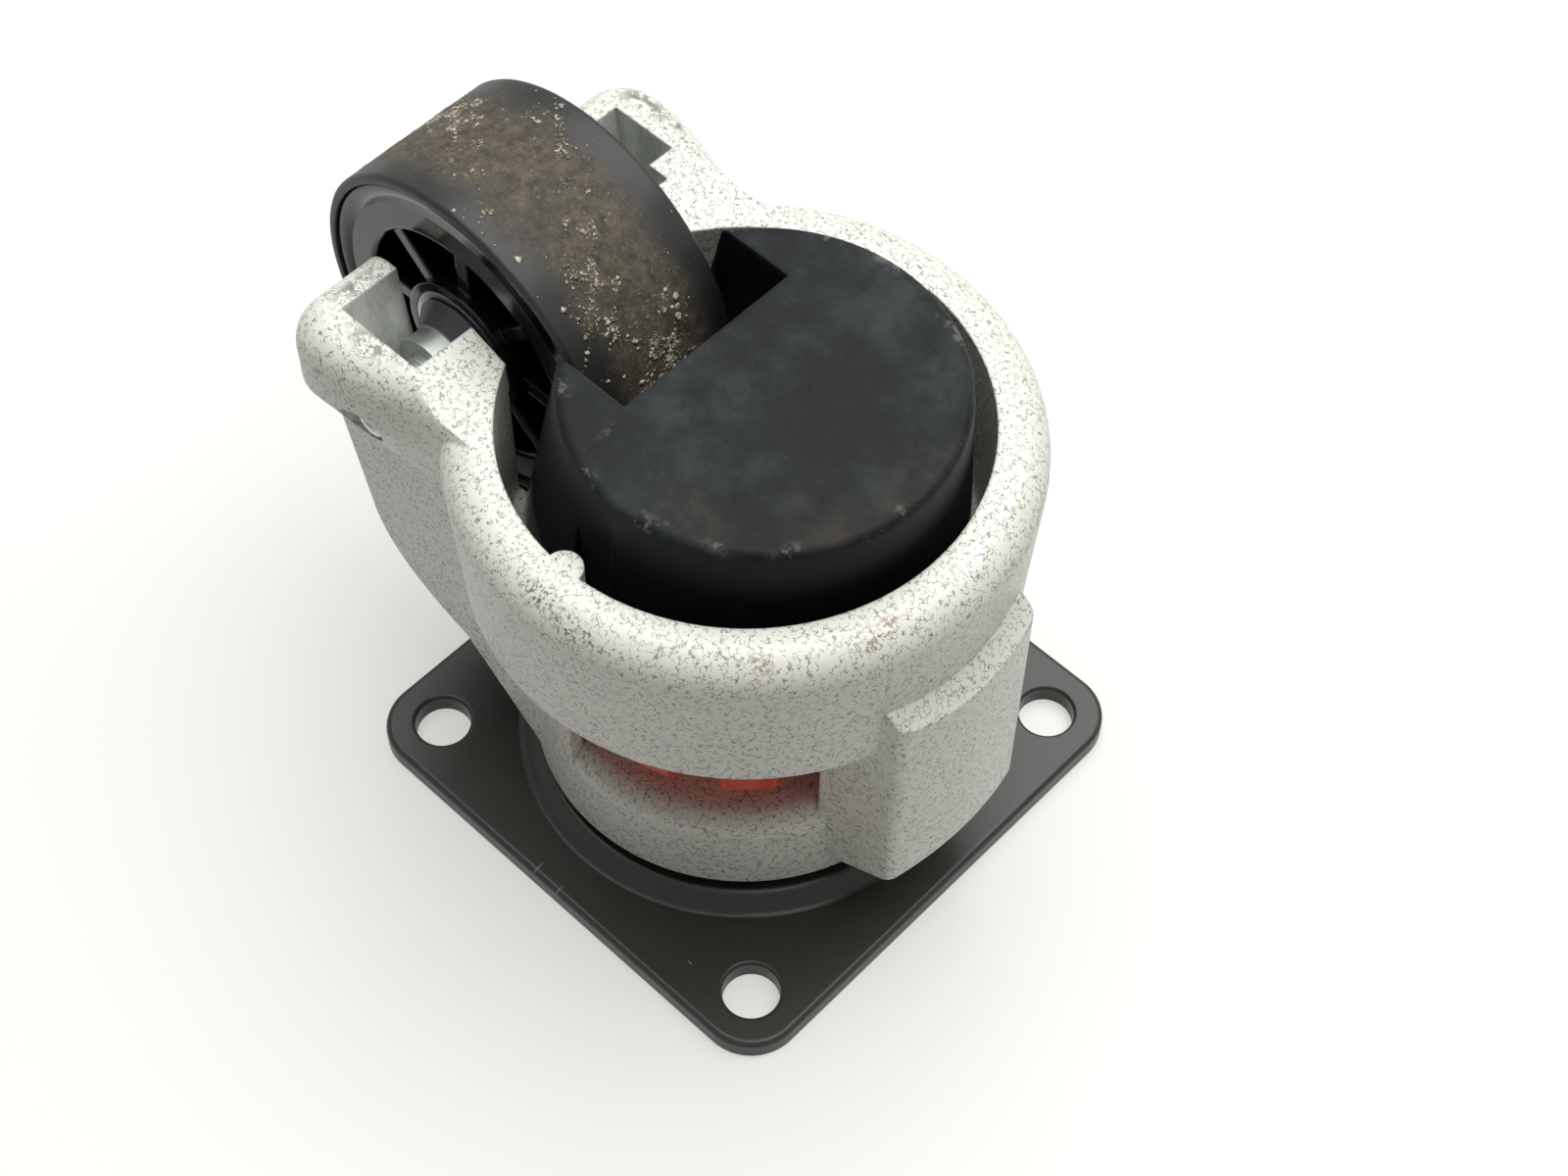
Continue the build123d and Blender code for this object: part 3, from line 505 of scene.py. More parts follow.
def make_pad_rubber():
    """Dull black rubber: a smeared, stained face, a scraped lip, and sides darkened as painted shade."""
    material, tree, shader = new_material("pad_rubber")
    where = object_place(tree)
    split = node(tree, "ShaderNodeSeparateXYZ", {0: where}).outputs
    face = ramp(tree, split["Z"], PAD_SIDE_END, PAD_FACE_START)
    smear = noise(tree, where, 60.0, 6.0, 0.66)
    blotch = noise(tree, where, 190.0, 5.0, 0.62)
    smeared = times(tree, ramp(tree, smear, 0.40, 0.66), ramp(tree, blotch, 0.25, 0.62))
    base = mix(tree, smeared, *PAD_SHADES)
    stain = times(tree, all_marks(tree, PAD_STAINS, 300.0, 0.25), ramp(tree, blotch, 0.30, 0.70), 0.75)
    base = mix(tree, stain, base, STAIN_COLOUR)
    scuff = all_marks(tree, PAD_SCUFFS, 1300.0, 0.5)
    speck = ramp(tree, noise(tree, where, 1500.0, 3.0, 0.6), 0.66, 0.74)
    pale = maths(tree, "MAXIMUM", times(tree, scuff, 0.22), times(tree, speck, 0.14))
    worn = group_mask(tree, near_edge, {"Width": 0.5 * MM, "Break Scale": 380.0, "Amount": 0.35})
    from_centre = distance_from(tree, split["X"], PAD_CENTRE_X, split["Y"], 0.0)
    lip = ramp(tree, from_centre, PAD_LIP_START, PAD_LIP_END)
    scraped = times(tree, lip, ramp(tree, noise(tree, where, 340.0, 5.0, 0.7), 0.56, 0.64), 0.75)
    pale = maths(tree, "MAXIMUM", pale, maths(tree, "MAXIMUM", worn, scraped))
    on_face = mix(tree, pale, base, SCRAPED_RUBBER)
    # painted shade: below the face the sides take the near black colour
    feed(tree, shader.inputs["Base Color"], mix(tree, face, SIDE_RUBBER_AND_PAINTED_SHADE, on_face))
    face_rough = times(tree, face, scaled(tree, smear, 0.25, 0.42))
    side_rough = times(tree, scaled(tree, face, -1.0, 1.0), scaled(tree, blotch, 0.10, 0.42))
    feed(tree, shader.inputs["Roughness"], maths(tree, "ADD", face_rough, side_rough))
    shader.inputs["Specular IOR Level"].default_value = 0.13
    grain = noise(tree, where, 1100.0, 5.0, 0.65)
    set_skin(tree, shader, 0.9, times(tree, grain, scaled(tree, face, 0.9, 0.1)), 0.30, 0.10)
    return material


# %% [markdown]
# ## Tyre with dirt in its tread
# The tread has rolled over gritty floors: its middle band is olive brown with dust, while the
# shoulders stay black. How far a point lies from the axle and from the wheel's middle plane tells
# tread from side, so the mask is worked out from the Object coordinates.

# %% Material: tyre
WHEEL_X = -37.2 * MM
WHEEL_Z = 60.2 * MM
WHEEL_RADIUS = 24.6 * MM
HALF_TREAD = 11.25 * MM
TREAD_START = WHEEL_RADIUS - 1.1 * MM
TREAD_FULL = WHEEL_RADIUS - 0.45 * MM
BAND_WANDER = 9.0 * MM
BAND_OUTER = 14.5 * MM
BAND_INNER = 8.5 * MM
TYRE_BLACKS = (rgb(0.012, 0.012, 0.013), rgb(0.030, 0.029, 0.028))
DUST_BROWNS = (rgb(0.042, 0.035, 0.024), rgb(0.160, 0.136, 0.096))
PALE_SPECK = rgb(0.30, 0.265, 0.195)


def make_tyre_rubber():
    """Black rubber whose tread band is olive brown with dust and pale specks."""
    material, tree, shader = new_material("tyre_rubber")
    where = object_place(tree)
    split = node(tree, "ShaderNodeSeparateXYZ", {0: where}).outputs
    reach = distance_from(tree, split["X"], WHEEL_X, split["Z"], WHEEL_Z)
    on_tread = ramp(tree, reach, TREAD_START, TREAD_FULL)
    wander = scaled(tree, noise(tree, where, 85.0, 4.0, 0.6), BAND_WANDER)
    off_middle = maths(tree, "ADD", maths(tree, "ABSOLUTE", split["Y"]), wander)
    band = times(tree, on_tread, ramp(tree, off_middle, BAND_OUTER, BAND_INNER))
    cloud = noise(tree, where, 110.0, 6.0, 0.68)
    fine = noise(tree, where, 620.0, 6.0, 0.80)
    dust = times(tree, band, ramp(tree, cloud, 0.18, 0.50))
    black = mix(tree, cloud, *TYRE_BLACKS)
    brown = mix(tree, ramp(tree, fine, 0.30, 0.74), *DUST_BROWNS)
    colour = mix(tree, times(tree, dust, 0.90), black, brown)
    drift = ramp(tree, noise(tree, where, 150.0, 3.0, 0.6), 0.42, 0.60)
    speck = times(tree, ramp(tree, noise(tree, where, 1350.0, 3.0, 0.65), 0.57, 0.66), band, drift)
    colour = mix(tree, times(tree, speck, 0.62), colour, PALE_SPECK)
    feed(tree, shader.inputs["Base Color"], colour)
    feed(tree, shader.inputs["Roughness"], scaled(tree, dust, 0.30, 0.45))
    shader.inputs["Specular IOR Level"].default_value = 0.36
    rough_skin = maths(tree, "ADD", times(tree, fine, band), times(tree, speck, 0.4))
    set_skin(tree, shader, 0.3, rough_skin, 0.65, 0.30)
    return material


# %% Material: grit
GRIT_SHADES = (rgb(0.15, 0.12, 0.08), rgb(0.60, 0.56, 0.46))


def make_grit():
    """Sand and metal dust: pale grains from cream to brown, each place its own shade."""
    material, tree, shader = new_material("grit")
    where = object_place(tree)
    shade = noise(tree, where, 900.0, 2.0, 0.6)
    colour = mix(tree, ramp(tree, shade, 0.40, 0.70), *GRIT_SHADES)
    feed(tree, shader.inputs["Base Color"], colour)
    shader.inputs["Roughness"].default_value = 0.55
    return material


# %% [markdown]
# ## Metals, dial and small parts
# The axle, its bushes and its screws are zinc plated: a cool dull grey with a faint grain. The
# bearing steel inside is smoother. The dial is glossy red plastic and the washers are white nylon.
# The bushes' cones, next to the wheel's hub, are dulled by dark grease, and only their ends shine.

# %% Materials: metals
GREASE_EDGE = 14.4 * MM
GREASE_FADE = 0.5 * MM
GREASE_COLOUR = rgb(0.045, 0.045, 0.052)


def make_metal(name, dark, light, base_rough, grain_scale):
    """Metal whose colour and roughness drift a little with a fine grain."""
    material, tree, shader = new_material(name)
    where = object_place(tree)
    grain = noise(tree, where, grain_scale, 4.0, 0.6)
    tarnish = noise(tree, where, 160.0, 4.0, 0.65)
    feed(tree, shader.inputs["Base Color"], mix(tree, tarnish, dark, light))
    feed(tree, shader.inputs["Roughness"], scaled(tree, grain, 0.18, base_rough))
    set_skin(tree, shader, 0.15, grain, 0.15, 0.05)
    shader.inputs["Metallic"].default_value = 1.0
    return material


def grease_cones(material):
    """Darkens a metal between the hub and the bush's bright end."""
    tree = material.node_tree
    shader = tree.nodes["Principled BSDF"]
    clean = shader.inputs["Base Color"].links[0].from_socket
    along = node(tree, "ShaderNodeSeparateXYZ", {0: object_place(tree)}).outputs["Y"]
    greasy = ramp(tree, maths(tree, "ABSOLUTE", along), GREASE_EDGE, GREASE_EDGE - GREASE_FADE)
    feed(tree, shader.inputs["Base Color"], mix(tree, greasy, clean, GREASE_COLOUR))
    feed(tree, shader.inputs["Metallic"], scaled(tree, greasy, -1.0, 1.0))
    return material


# %% Materials: plastics and the seal
def make_plastic(name, low, high, base_rough):
    """Moulded plastic with a faint cloud in its colour and a fine ripple in its gloss."""
    material, tree, shader = new_material(name)
    where = object_place(tree)
    cloud = noise(tree, where, 140.0, 4.0, 0.6)
    feed(tree, shader.inputs["Base Color"], mix(tree, cloud, low, high))
    feed(tree, shader.inputs["Roughness"], scaled(tree, cloud, 0.15, base_rough))
    ripple = noise(tree, where, 600.0, 3.0, 0.5)
    set_skin(tree, shader, 0.3, ripple, 0.10, 0.06)
    return material


# %% Make each finish once
finishes = {
    "speckled_paint": make_speckled_paint(),
    "black_steel": make_black_coat(),
    "black_nylon": make_black_nylon(),
    "pad_rubber": make_pad_rubber(),
    "tyre_rubber": make_tyre_rubber(),
    "steel": make_metal("steel", rgb(0.42, 0.42, 0.41), rgb(0.58, 0.58, 0.57), 0.24, 1500.0),
    "zinc_steel": grease_cones(
        make_metal("zinc_steel", rgb(0.42, 0.46, 0.44), rgb(0.66, 0.70, 0.66), 0.34, 1200.0)),
    "ball_steel": make_metal("ball_steel", rgb(0.66, 0.66, 0.67), rgb(0.74, 0.74, 0.75), 0.08, 2000.0),
    "red_plastic": make_plastic("red_plastic", rgb(0.62, 0.045, 0.018), rgb(0.80, 0.085, 0.035), 0.22),
    "white_nylon": make_plastic("white_nylon", rgb(0.70, 0.70, 0.66), rgb(0.80, 0.80, 0.76), 0.40),
    "seal_rubber": make_plastic("seal_rubber", rgb(0.012, 0.012, 0.012), rgb(0.022, 0.022, 0.022), 0.45),
}
grit_finish = make_grit()
print("finishes", len(finishes) + 1)

# %% [markdown]
# ## Finishes on the solids
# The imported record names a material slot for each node. Each CAD node keeps its mesh and gets the
# finish of its slot.

# %% Give every CAD node its finish
slot_of = {entry["node"]: entry["material_slot"] for entry in frame["record"]["subparts"]}
for name, thing in nodes.items():
    thing.data.materials.clear()
    thing.data.materials.append(finishes[slot_of[name]])
print("dressed", len(nodes), "nodes")

# %% [markdown]
# ## Pieces made here
# Some surfaces are finer than the solids carry: the tyre's worn tread and its lip, the rim beside
# it, the grit stuck in it, the threads of the axle screws, and the rounded lobes of the dial. All
# but the grit are a grid of points worked out by numpy from a short formula, whose rows follow the
# profile and whose columns go round the axis. The tyre, the screws and the dial take the place of
# their solids, and every piece moves with its body.

# %% Helpers that turn point grids into pieces
def grid_faces(rows, columns):
    """Four-sided faces that join a grid of points row by row and close each row round."""
    index = np.arange(rows * columns).reshape(rows, columns)
    beside = np.roll(index, -1, axis=1)
    return np.stack([index[:-1], beside[:-1], beside[1:], index[1:]], axis=-1).reshape(-1, 4)


def wheel_points(radius, along, angle):
    """Turns radius, distance along the axle and angle into points round the wheel's axle."""
    radius, along, angle = np.broadcast_arrays(radius, along, angle)
    return np.stack([WHEEL_X + radius * np.cos(angle), along, WHEEL_Z + radius * np.sin(angle)], axis=-1)


def make_piece(name, points, faces, finish, body):
    """Makes an object from points and equal-sided faces, smooth, and lets it ride on a body."""
    points = np.asarray(points, dtype=np.float32).reshape(-1, 3)
    faces = np.asarray(faces, dtype=np.int32)
    count, sides = faces.shape
    mesh = bpy.data.meshes.new(name)
    mesh.vertices.add(len(points))
    mesh.vertices.foreach_set("co", points.ravel())
    mesh.loops.add(count * sides)
    mesh.loops.foreach_set("vertex_index", faces.ravel())
    mesh.polygons.add(count)
    mesh.polygons.foreach_set("loop_start", np.arange(0, count * sides, sides, dtype=np.int32))
    mesh.polygons.foreach_set("use_smooth", np.ones(count, dtype=bool))
    mesh.update(calc_edges=True)
    mesh.validate()
    mesh.materials.append(finish)
    piece = bpy.data.objects.new(name, mesh)
    bpy.context.scene.collection.objects.link(piece)
    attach(piece, body)
    print(name, "points", len(points), "faces", count)
    return piece


def rounded_corner(centre, radius, start, end, count=6):
    """Points of an arc in a profile, from one angle in degrees to another."""
    angle = np.radians(np.linspace(start, end, count))
    return np.stack([centre[0] + radius * np.cos(angle), centre[1] + radius * np.sin(angle)], axis=-1)


# %% [markdown]
# ### Tyre
# The tyre is a band bonded to the core. Its section is a flat rectangle with nearly sharp edges,
# which catch a thin line of light, and a small round lip at the bore. So the section is arcs of two
# sizes joined by straight lines, closed on itself and turned round the axle. Rolling has worn the
# tread by about a tenth of a millimetre, unevenly, which a sum of a few waves imitates.

# %% Tyre
TYRE_BORE = 23.2 * MM
TYRE_SHOULDER = 0.75 * MM
TYRE_LIP = 0.25 * MM
SHOULDER_ROWS = 9
TREAD_ROWS = 31
TYRE_COLUMNS = 300
TREAD_WEAR = 0.13 * MM
WEAR_BLEND = 0.5 * MM
EVEN_WEAR = 0.62
WEAR_WAVES = [(5, 300), (11, -700), (23, 0)]


def tyre_section():
    """The closed section as radius and distance along the axle, from the bore round the tread."""
    half = HALF_TREAD
    near_lip = rounded_corner((TYRE_BORE + TYRE_LIP, -half + TYRE_LIP), TYRE_LIP, 180, 270)
    near_shoulder = rounded_corner((WHEEL_RADIUS - TYRE_SHOULDER, -half + TYRE_SHOULDER),
                                   TYRE_SHOULDER, -80, 0, SHOULDER_ROWS)
    tread_along = np.linspace(-half + TYRE_SHOULDER, half - TYRE_SHOULDER, TREAD_ROWS)[1:-1]
    tread = np.stack([np.full_like(tread_along, WHEEL_RADIUS), tread_along], axis=-1)
    far_half = np.concatenate([near_lip, near_shoulder])[::-1] * (1.0, -1.0)
    return np.concatenate([near_lip, near_shoulder, tread, far_half, near_lip[:1]])


def make_tyre():
    """Turns the section round the axle and lowers the tread by a few crossing waves."""
    section = tyre_section()
    angle = np.linspace(0.0, 2.0 * np.pi, TYRE_COLUMNS, endpoint=False)[None, :]
    radius, along = section[:, :1], section[:, 1:]
    on_tread = np.clip((radius - WHEEL_RADIUS + WEAR_BLEND) / WEAR_BLEND, 0.0, 1.0)
    waves = sum(np.sin(turns * angle + slant * along) for turns, slant in WEAR_WAVES) / len(WEAR_WAVES)
    worn = TREAD_WEAR * on_tread * (EVEN_WEAR + (1.0 - EVEN_WEAR) * waves)
    points = wheel_points(radius - worn, along, angle)
    faces = grid_faces(*points.shape[:2])
    tyre = make_piece("worn_tyre", points, faces, finishes["tyre_rubber"], "wheel")
    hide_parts("tyre")
    return tyre


worn_tyre = make_tyre()

# %% [markdown]
# ### Rim of the core
# The tyre is thinner than its seat is deep: the core's rim widens into a flange that fills the
# space between the seat and the tyre. It is a plain ring with rounded corners in shiny nylon, and
# a narrow dark line is left between it and the tyre's lip.

# %% Rim flange
FLANGE_INNER = 20.5 * MM
FLANGE_OUTER = 23.1 * MM
FLANGE_HALF = 10.84 * MM
FLANGE_ROUND = 0.35 * MM


def make_flange():
    """Turns a closed rectangle with rounded outer corners round the axle."""
    corner = (FLANGE_OUTER - FLANGE_ROUND, FLANGE_HALF - FLANGE_ROUND)
    upper = rounded_corner(corner, FLANGE_ROUND, 0, 90)
    lower = upper[::-1] * (1.0, -1.0)
    section = np.concatenate([lower, upper, [(FLANGE_INNER, FLANGE_HALF), (FLANGE_INNER, -FLANGE_HALF)],
                              lower[:1]])
    angle = np.linspace(0.0, 2.0 * np.pi, TYRE_COLUMNS // 2, endpoint=False)[None, :]
    points = wheel_points(section[:, :1], section[:, 1:], angle)
    faces = grid_faces(*points.shape[:2])
    flange = make_piece("rim_flange", points, faces, finishes["black_nylon"], "wheel")
    return flange


rim_flange = make_flange()

# %% [markdown]
# ### Grit in the tread
# Sand and metal dust sit in the rubber in drifts, mostly near the middle of the tread. The grains
# are small octahedra, each squeezed and turned its own way. Their places are drawn at random and
# kept with a chance that follows a drift pattern of broad waves, so they crowd in some places and
# leave others bare. They stay below the height of the unworn tread.

# %% Grit
GRIT_TRIES = 42000
GRIT_SIZE = 0.105 * MM
GRIT_SMALLEST = 0.045 * MM
GRIT_LARGEST = 0.55 * MM
GRIT_VARIETY = 0.70
GRIT_STRETCH = (0.6, 1.5)
GRIT_HEIGHT = 0.06 * MM
GRIT_DEPTH = 0.07 * MM
GRIT_SPREAD = 4.2 * MM
DRIFT_WAVES = [(1.0, 3, 250, 0.6), (1.0, 7, -430, 0.0), (0.8, 19, 900, 0.0), (0.8, 31, -1500, 1.0)]
DRIFT_LIMIT = 1.5
DRIFT_SHARPNESS = 3.2
GRIT_SEED = 11


def grit_places(rng):
    """Angles and distances along the axle of the grains that the drift pattern keeps."""
    angle = rng.uniform(0.0, 2.0 * np.pi, GRIT_TRIES)
    along = rng.normal(0.0, GRIT_SPREAD, GRIT_TRIES)
    drift = sum(share * np.sin(turns * angle + slant * along + shift)
                for share, turns, slant, shift in DRIFT_WAVES)
    chance = 1.0 / (1.0 + np.exp(-DRIFT_SHARPNESS * (drift - DRIFT_LIMIT)))
    kept = rng.uniform(0.0, 1.0, GRIT_TRIES) < chance
    kept &= np.abs(along) < HALF_TREAD - TYRE_SHOULDER
    return angle[kept], along[kept]


def make_grit_grains():
    """Puts a squeezed octahedron at each place, its long side along the surface."""
    rng = np.random.default_rng(GRIT_SEED)
    angle, along = grit_places(rng)
    count = len(angle)
    size = GRIT_SIZE * rng.lognormal(0.0, GRIT_VARIETY, (count, 1))
    size = np.clip(size, GRIT_SMALLEST, GRIT_LARGEST)
    corners = np.array([(1, 0, 0), (0, 1, 0), (-1, 0, 0), (0, -1, 0), (0, 0, 1), (0, 0, -1)])
    spin = rng.uniform(0.0, 2.0 * np.pi, (count, 1))
    stretch = rng.uniform(*GRIT_STRETCH, (count, 6)) * size
    round_wheel = stretch * (corners[:, 0] * np.cos(spin) - corners[:, 1] * np.sin(spin))
    along_axle = stretch * (corners[:, 0] * np.sin(spin) + corners[:, 1] * np.cos(spin))
    radius = WHEEL_RADIUS - GRIT_DEPTH + corners[:, 2] * GRIT_HEIGHT
    points = wheel_points(radius, along[:, None] + along_axle,
                          angle[:, None] + round_wheel / WHEEL_RADIUS)
    sides = np.array([(0, 1, 4), (1, 2, 4), (2, 3, 4), (3, 0, 4),
                      (1, 0, 5), (2, 1, 5), (3, 2, 5), (0, 3, 5)])
    faces = (sides[None] + 6 * np.arange(count)[:, None, None]).reshape(-1, 3)
    grains = make_piece("tread_grit", points, faces, grit_finish, "wheel")
    return grains


tread_grit = make_grit_grains()

# %% [markdown]
# ### Axle screws
# A set screw through each arm holds the axle's end. Its thread shows in the open pocket, between
# the bush and the arm's wall. A thread is a cylinder whose radius follows a triangle wave along the
# axis, and the wave slides by one pitch per turn. The outer end has a small bevel and a hex socket,
# whose radius at an angle is the flat's distance divided by the cosine of the angle off the flat.

# %% Axle screws
SCREW_RADIUS = 3.0 * MM
SCREW_INNER_END = 10.0 * MM
SCREW_OUTER_END = 26.7 * MM
SCREW_PITCH = 1.0 * MM
THREAD_DEPTH = 0.5 * MM
THREAD_SLOPE = 2.3
THREAD_CREST = 0.15
SOCKET_FLAT = 1.5 * MM
SOCKET_DEPTH = 2.0 * MM
SOCKET_MOUTH = 1.06
SOCKET_BEVEL = 0.1 * MM
SCREW_COLUMNS = 48
ROWS_PER_PITCH = 10


def screw_rows(angle):
    """Radius and distance from the wheel's middle for each row, from the inner end to the socket."""
    bevel = THREAD_DEPTH
    rows = int((SCREW_OUTER_END - SCREW_INNER_END - bevel) / SCREW_PITCH) * ROWS_PER_PITCH
    along = np.linspace(SCREW_INNER_END, SCREW_OUTER_END - bevel, rows)[:, None]
    phase = np.mod(along / SCREW_PITCH - angle / (2 * np.pi), 1.0)
    groove = np.clip(np.abs(phase - 0.5) * THREAD_SLOPE - THREAD_CREST, 0.0, 1.0)
    thread = SCREW_RADIUS - THREAD_DEPTH * groove
    off_flat = np.mod(angle, np.pi / 3) - np.pi / 6
    hexagon = SOCKET_FLAT / np.cos(off_flat)
    end_radii = [np.full_like(angle, SCREW_RADIUS - bevel), hexagon * SOCKET_MOUTH, hexagon, hexagon,
                 angle * 0.0]
    end_places = [SCREW_OUTER_END, SCREW_OUTER_END, SCREW_OUTER_END - SOCKET_BEVEL,
                  SCREW_OUTER_END - SOCKET_DEPTH, SCREW_OUTER_END - SOCKET_DEPTH]
    radius = np.concatenate([angle * 0.0, thread] + end_radii)
    places = np.concatenate([[[SCREW_INNER_END]], along, np.array(end_places)[:, None]])
    return radius, places


def make_screws():
    """Makes one screw and its mirror image, whose faces are turned round to point outward."""
    angle = np.linspace(0.0, 2.0 * np.pi, SCREW_COLUMNS, endpoint=False)[None, :]
    radius, places = screw_rows(angle)
    far = wheel_points(radius, places, angle)
    near = wheel_points(radius, -places, angle)
    faces = grid_faces(*far.shape[:2])
    points = np.concatenate([far.reshape(-1, 3), near.reshape(-1, 3)])
    both = np.concatenate([faces[:, ::-1], faces + far.shape[0] * far.shape[1]])
    screws = make_piece("threaded_screws", points, both, finishes["zinc_steel"], "housing")
    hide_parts("axle_screws")
    return screws


threaded_screws = make_screws()

# %% [markdown]
# ### Thumb dial
# The dial is a moulding: a hub with a rim of twelve rounded lobes. Seen from above, the rim's
# radius is the full radius, less a notch that repeats twelve times. The notch is a smooth step in
# the angle, which rounds its corners. The top and bottom of the rim are rounded too, so the rim's
# rows shrink a little towards both faces.

# %% Thumb dial
DIAL_BORE = 9.0 * MM
DIAL_FLANGE = 12.0 * MM
DIAL_FLANGE_DEPTH = 2.5 * MM
DIAL_HUB = 21.5 * MM
DIAL_RADIUS = 25.5 * MM
DIAL_NOTCH = 1.6 * MM
NOTCH_BOTTOM = 0.30
NOTCH_FLANK = 0.22
DIAL_LOBES = 12
DIAL_BOTTOM = 23.95 * MM
DIAL_TOP = 37.05 * MM
RIM_BOTTOM = 26.5 * MM
RIM_TOP = 36.3 * MM
RIM_ROUND = 0.9 * MM
RIM_ROWS = 7
HUB_LOWER_BEVEL = 0.4 * MM
HUB_UPPER_BEVEL = 0.3 * MM
DIAL_COLUMNS = 360


def make_dial():
    """Turns the dial's profile round the swivel axis, with notches in the rim's rows."""
    angle = np.linspace(0.0, 2.0 * np.pi, DIAL_COLUMNS, endpoint=False)[None, :]
    off_notch = np.abs(np.mod(angle * DIAL_LOBES / (2 * np.pi) + 0.5, 1.0) - 0.5) * 2
    step = np.clip((off_notch - NOTCH_BOTTOM) / NOTCH_FLANK, 0.0, 1.0)
    notch = DIAL_NOTCH * (1.0 - step * step * (3.0 - 2.0 * step))
    round_from = DIAL_RADIUS - RIM_ROUND
    lower = rounded_corner((round_from, RIM_BOTTOM + RIM_ROUND), RIM_ROUND, -90, 0, RIM_ROWS)
    upper = rounded_corner((round_from, RIM_TOP - RIM_ROUND), RIM_ROUND, 0, 90, RIM_ROWS)
    below = [(DIAL_BORE, DIAL_TOP), (DIAL_BORE, DIAL_BOTTOM + DIAL_FLANGE_DEPTH),
             (DIAL_FLANGE, DIAL_BOTTOM + DIAL_FLANGE_DEPTH), (DIAL_FLANGE, DIAL_BOTTOM),
             (DIAL_HUB - HUB_LOWER_BEVEL, DIAL_BOTTOM), (DIAL_HUB, DIAL_BOTTOM + HUB_LOWER_BEVEL),
             (DIAL_HUB, RIM_BOTTOM)]
    above = [(DIAL_HUB, RIM_TOP), (DIAL_HUB, DIAL_TOP - HUB_UPPER_BEVEL),
             (DIAL_HUB - HUB_UPPER_BEVEL, DIAL_TOP), (DIAL_BORE, DIAL_TOP)]
    profile = np.concatenate([below, lower, upper, above])
    radius, height = profile[:, :1], profile[:, 1:]
    radius = radius - notch * (radius > DIAL_HUB + RIM_ROUND)
    points = np.broadcast_arrays(radius * np.cos(angle), radius * np.sin(angle), height)
    points = np.stack(points, axis=-1)
    faces = grid_faces(*points.shape[:2])
    dial = make_piece("lobed_dial", points, faces, finishes["red_plastic"], "dial")
    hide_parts("dial")
    return dial


lobed_dial = make_dial()

# %% [markdown]
# ## Floor, light and camera
# The photograph was taken on a white table under a broad overhead light: upward faces are bright
# cream, upright faces only half as bright, and the shadow is short and faint. So one large lamp
# hangs above and behind, and the surroundings are dim. The table was white enough to be near the
# camera's limit. Here the floor itself is a light grey and adds a glow that only the camera and
# mirrored or refracted rays see, so it turns white without lighting the castor's sides. The world
# is brighter for those rays too, so that no dark band shows past the floor's far edge.

# %% Floor
FLOOR_REACH = 3.0
FLOOR_GLOW = 0.44
FLOOR_COLOUR = rgb(0.49, 0.485, 0.475)
GLOW_COLOUR = rgb(1.0, 0.985, 0.955)


def seen_rays(tree):
    """1 on rays from the camera and on mirrored and refracted ones, 0 on rays that carry light."""
    rays = node(tree, "ShaderNodeLightPath").outputs
    seen = maths(tree, "MAXIMUM", rays["Is Camera Ray"], rays["Is Glossy Ray"])
    return maths(tree, "MAXIMUM", seen, rays["Is Transmission Ray"])


def make_floor():
    """A pale plane that keeps the castor's soft shadow."""
    corners = [(-FLOOR_REACH, -FLOOR_REACH, 0.0), (FLOOR_REACH, -FLOOR_REACH, 0.0),
               (FLOOR_REACH, FLOOR_REACH, 0.0), (-FLOOR_REACH, FLOOR_REACH, 0.0)]
    mesh = bpy.data.meshes.new("floor")
    mesh.from_pydata(corners, [], [(0, 1, 2, 3)])
    floor = bpy.data.objects.new("floor", mesh)
    bpy.context.scene.collection.objects.link(floor)
    material, tree, shader = new_material("floor_white")
    shader.inputs["Base Color"].default_value = FLOOR_COLOUR
    shader.inputs["Emission Color"].default_value = GLOW_COLOUR
    feed(tree, shader.inputs["Emission Strength"], scaled(tree, seen_rays(tree), FLOOR_GLOW))
    shader.inputs["Roughness"].default_value = 0.6
    shader.inputs["Specular IOR Level"].default_value = 0.15
    mesh.materials.append(material)
    return floor


floor = make_floor()
print("floor", FLOOR_REACH * 2, "metres wide")

# %% Light
LAMP_PLACE = (-0.06, 0.36, 1.35)
LAMP_AIM = (0.0, 0.0, 40 * MM)
LAMP_SIZE = 1.5
LAMP_POWER = 30.0
WORLD_LIGHT = 0.10
BACKDROP_GLOW = 0.60
BACKDROP_COLOUR = rgb(0.99, 0.985, 0.97)


def make_area_light(name, place, aim, size, power):
    """A square soft light at a place, turned towards a point."""
    data = bpy.data.lights.new(name, "AREA")
    data.shape = "SQUARE"
    data.size = size
    data.energy = power
    lamp = bpy.data.objects.new(name, data)
    lamp.location = place
    lamp.rotation_euler = (Vector(aim) - Vector(place)).to_track_quat("-Z", "Y").to_euler()
    bpy.context.scene.collection.objects.link(lamp)
    return lamp


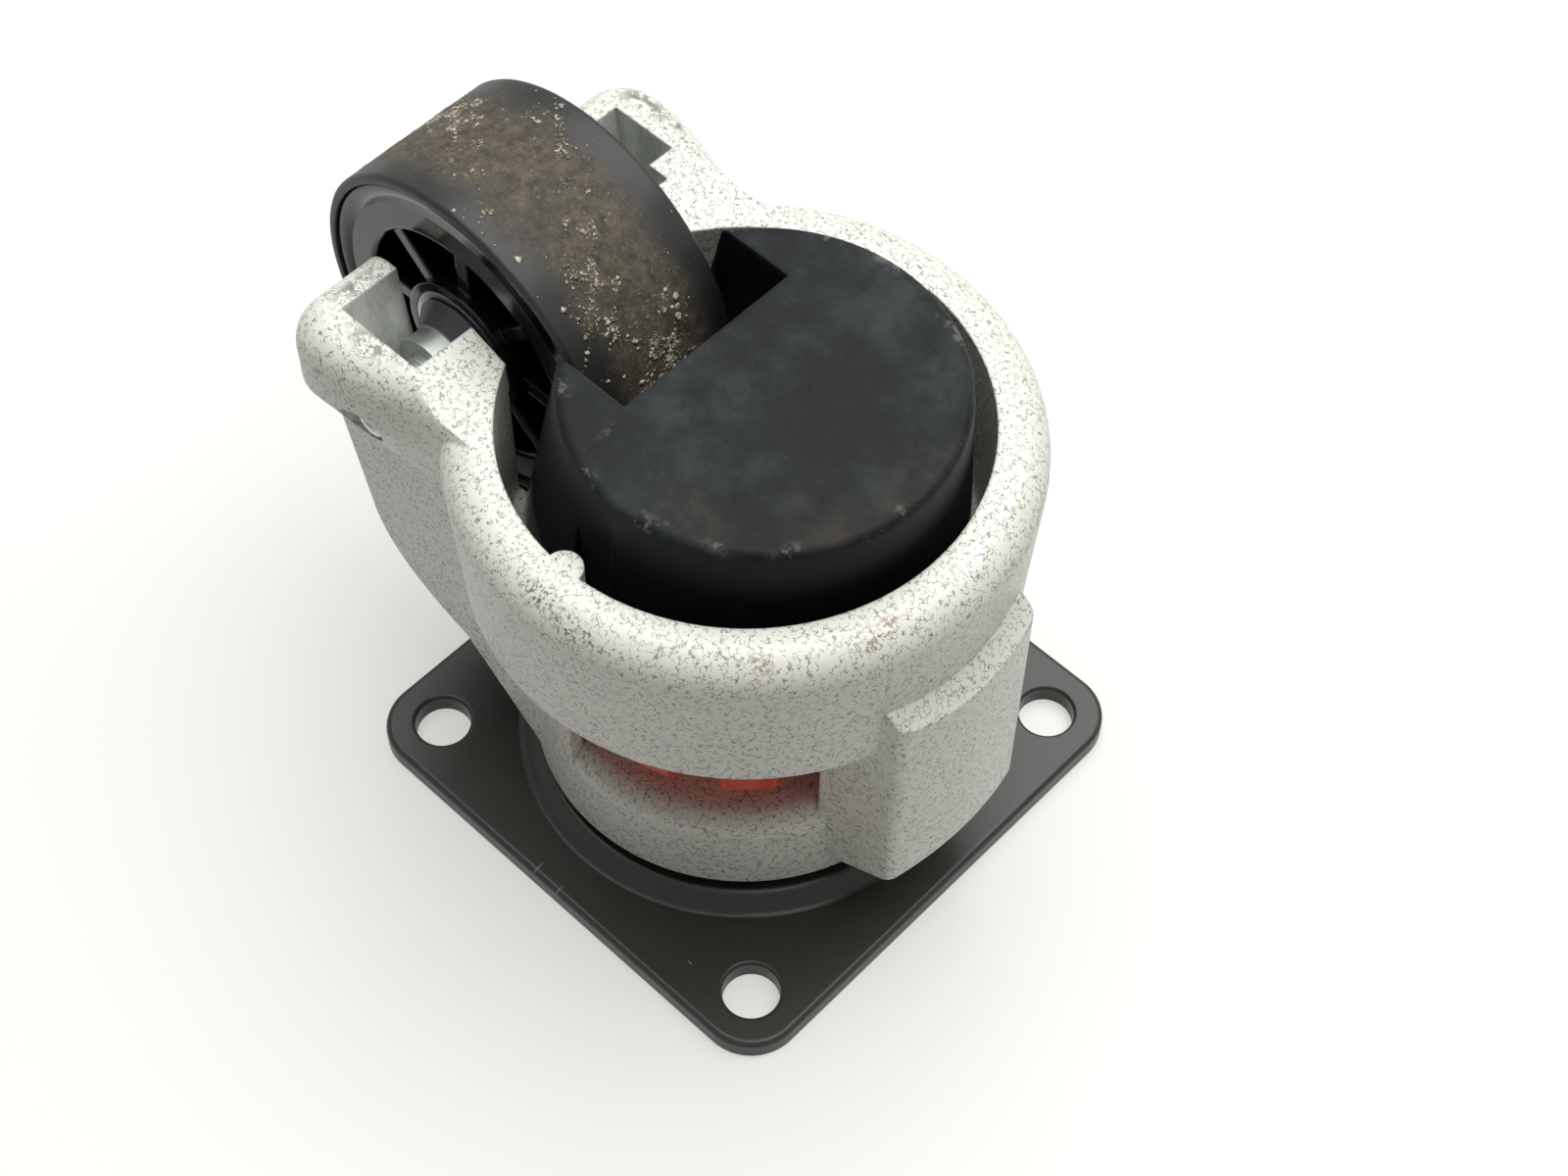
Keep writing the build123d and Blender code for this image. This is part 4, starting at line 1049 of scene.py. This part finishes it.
def make_world():
    """A dim white surrounding that looks brighter than the light it gives."""
    world = bpy.data.worlds.new("studio")
    world.use_nodes = True
    tree = world.node_tree
    backdrop = tree.nodes["Background"].inputs
    backdrop["Color"].default_value = BACKDROP_COLOUR
    feed(tree, backdrop["Strength"], scaled(tree, seen_rays(tree), BACKDROP_GLOW, WORLD_LIGHT))
    return world


overhead = make_area_light("overhead", LAMP_PLACE, LAMP_AIM, LAMP_SIZE, LAMP_POWER)
bpy.context.scene.world = make_world()
bpy.context.scene.view_settings.view_transform = "Standard"
print("lamp", overhead.name, "world", bpy.context.scene.world.name)

# %% [markdown]
# The camera was worked out from the photograph: the plate's corners and holes, the wheel and the
# foot's face fix its place, its lens and a small tilt of the horizon.

# %% Camera
CAMERA_AZIMUTH = math.radians(42.48)
CAMERA_ELEVATION = math.radians(55.91)
CAMERA_ROLL = math.radians(1.26)
CAMERA_DISTANCE = 342.6 * MM
CAMERA_TARGET = Vector((6.23, 0.39, 40.0)) * MM
CAMERA_LENS = 63.4
SENSOR_WIDTH = 36.0
NEAREST_SEEN = 10.0 * MM


def make_camera():
    """A camera that looks at the target from its azimuth and elevation, rolled about its view line."""
    back = Vector((math.sin(CAMERA_AZIMUTH) * math.cos(CAMERA_ELEVATION),
                   -math.cos(CAMERA_AZIMUTH) * math.cos(CAMERA_ELEVATION), math.sin(CAMERA_ELEVATION)))
    level = Vector((math.cos(CAMERA_AZIMUTH), math.sin(CAMERA_AZIMUTH), 0.0))
    upright = back.cross(level)
    right = level * math.cos(CAMERA_ROLL) + upright * math.sin(CAMERA_ROLL)
    above = upright * math.cos(CAMERA_ROLL) - level * math.sin(CAMERA_ROLL)
    data = bpy.data.cameras.new("camera")
    data.sensor_fit = "HORIZONTAL"
    data.sensor_width = SENSOR_WIDTH
    data.lens = CAMERA_LENS
    data.clip_start = NEAREST_SEEN
    camera = bpy.data.objects.new("camera", data)
    turn = Matrix((right, above, back)).transposed().to_4x4()
    camera.matrix_world = Matrix.Translation(CAMERA_TARGET + back * CAMERA_DISTANCE) @ turn
    bpy.context.scene.collection.objects.link(camera)
    return camera


bpy.context.scene.camera = make_camera()
print("camera lens", CAMERA_LENS, "mm")
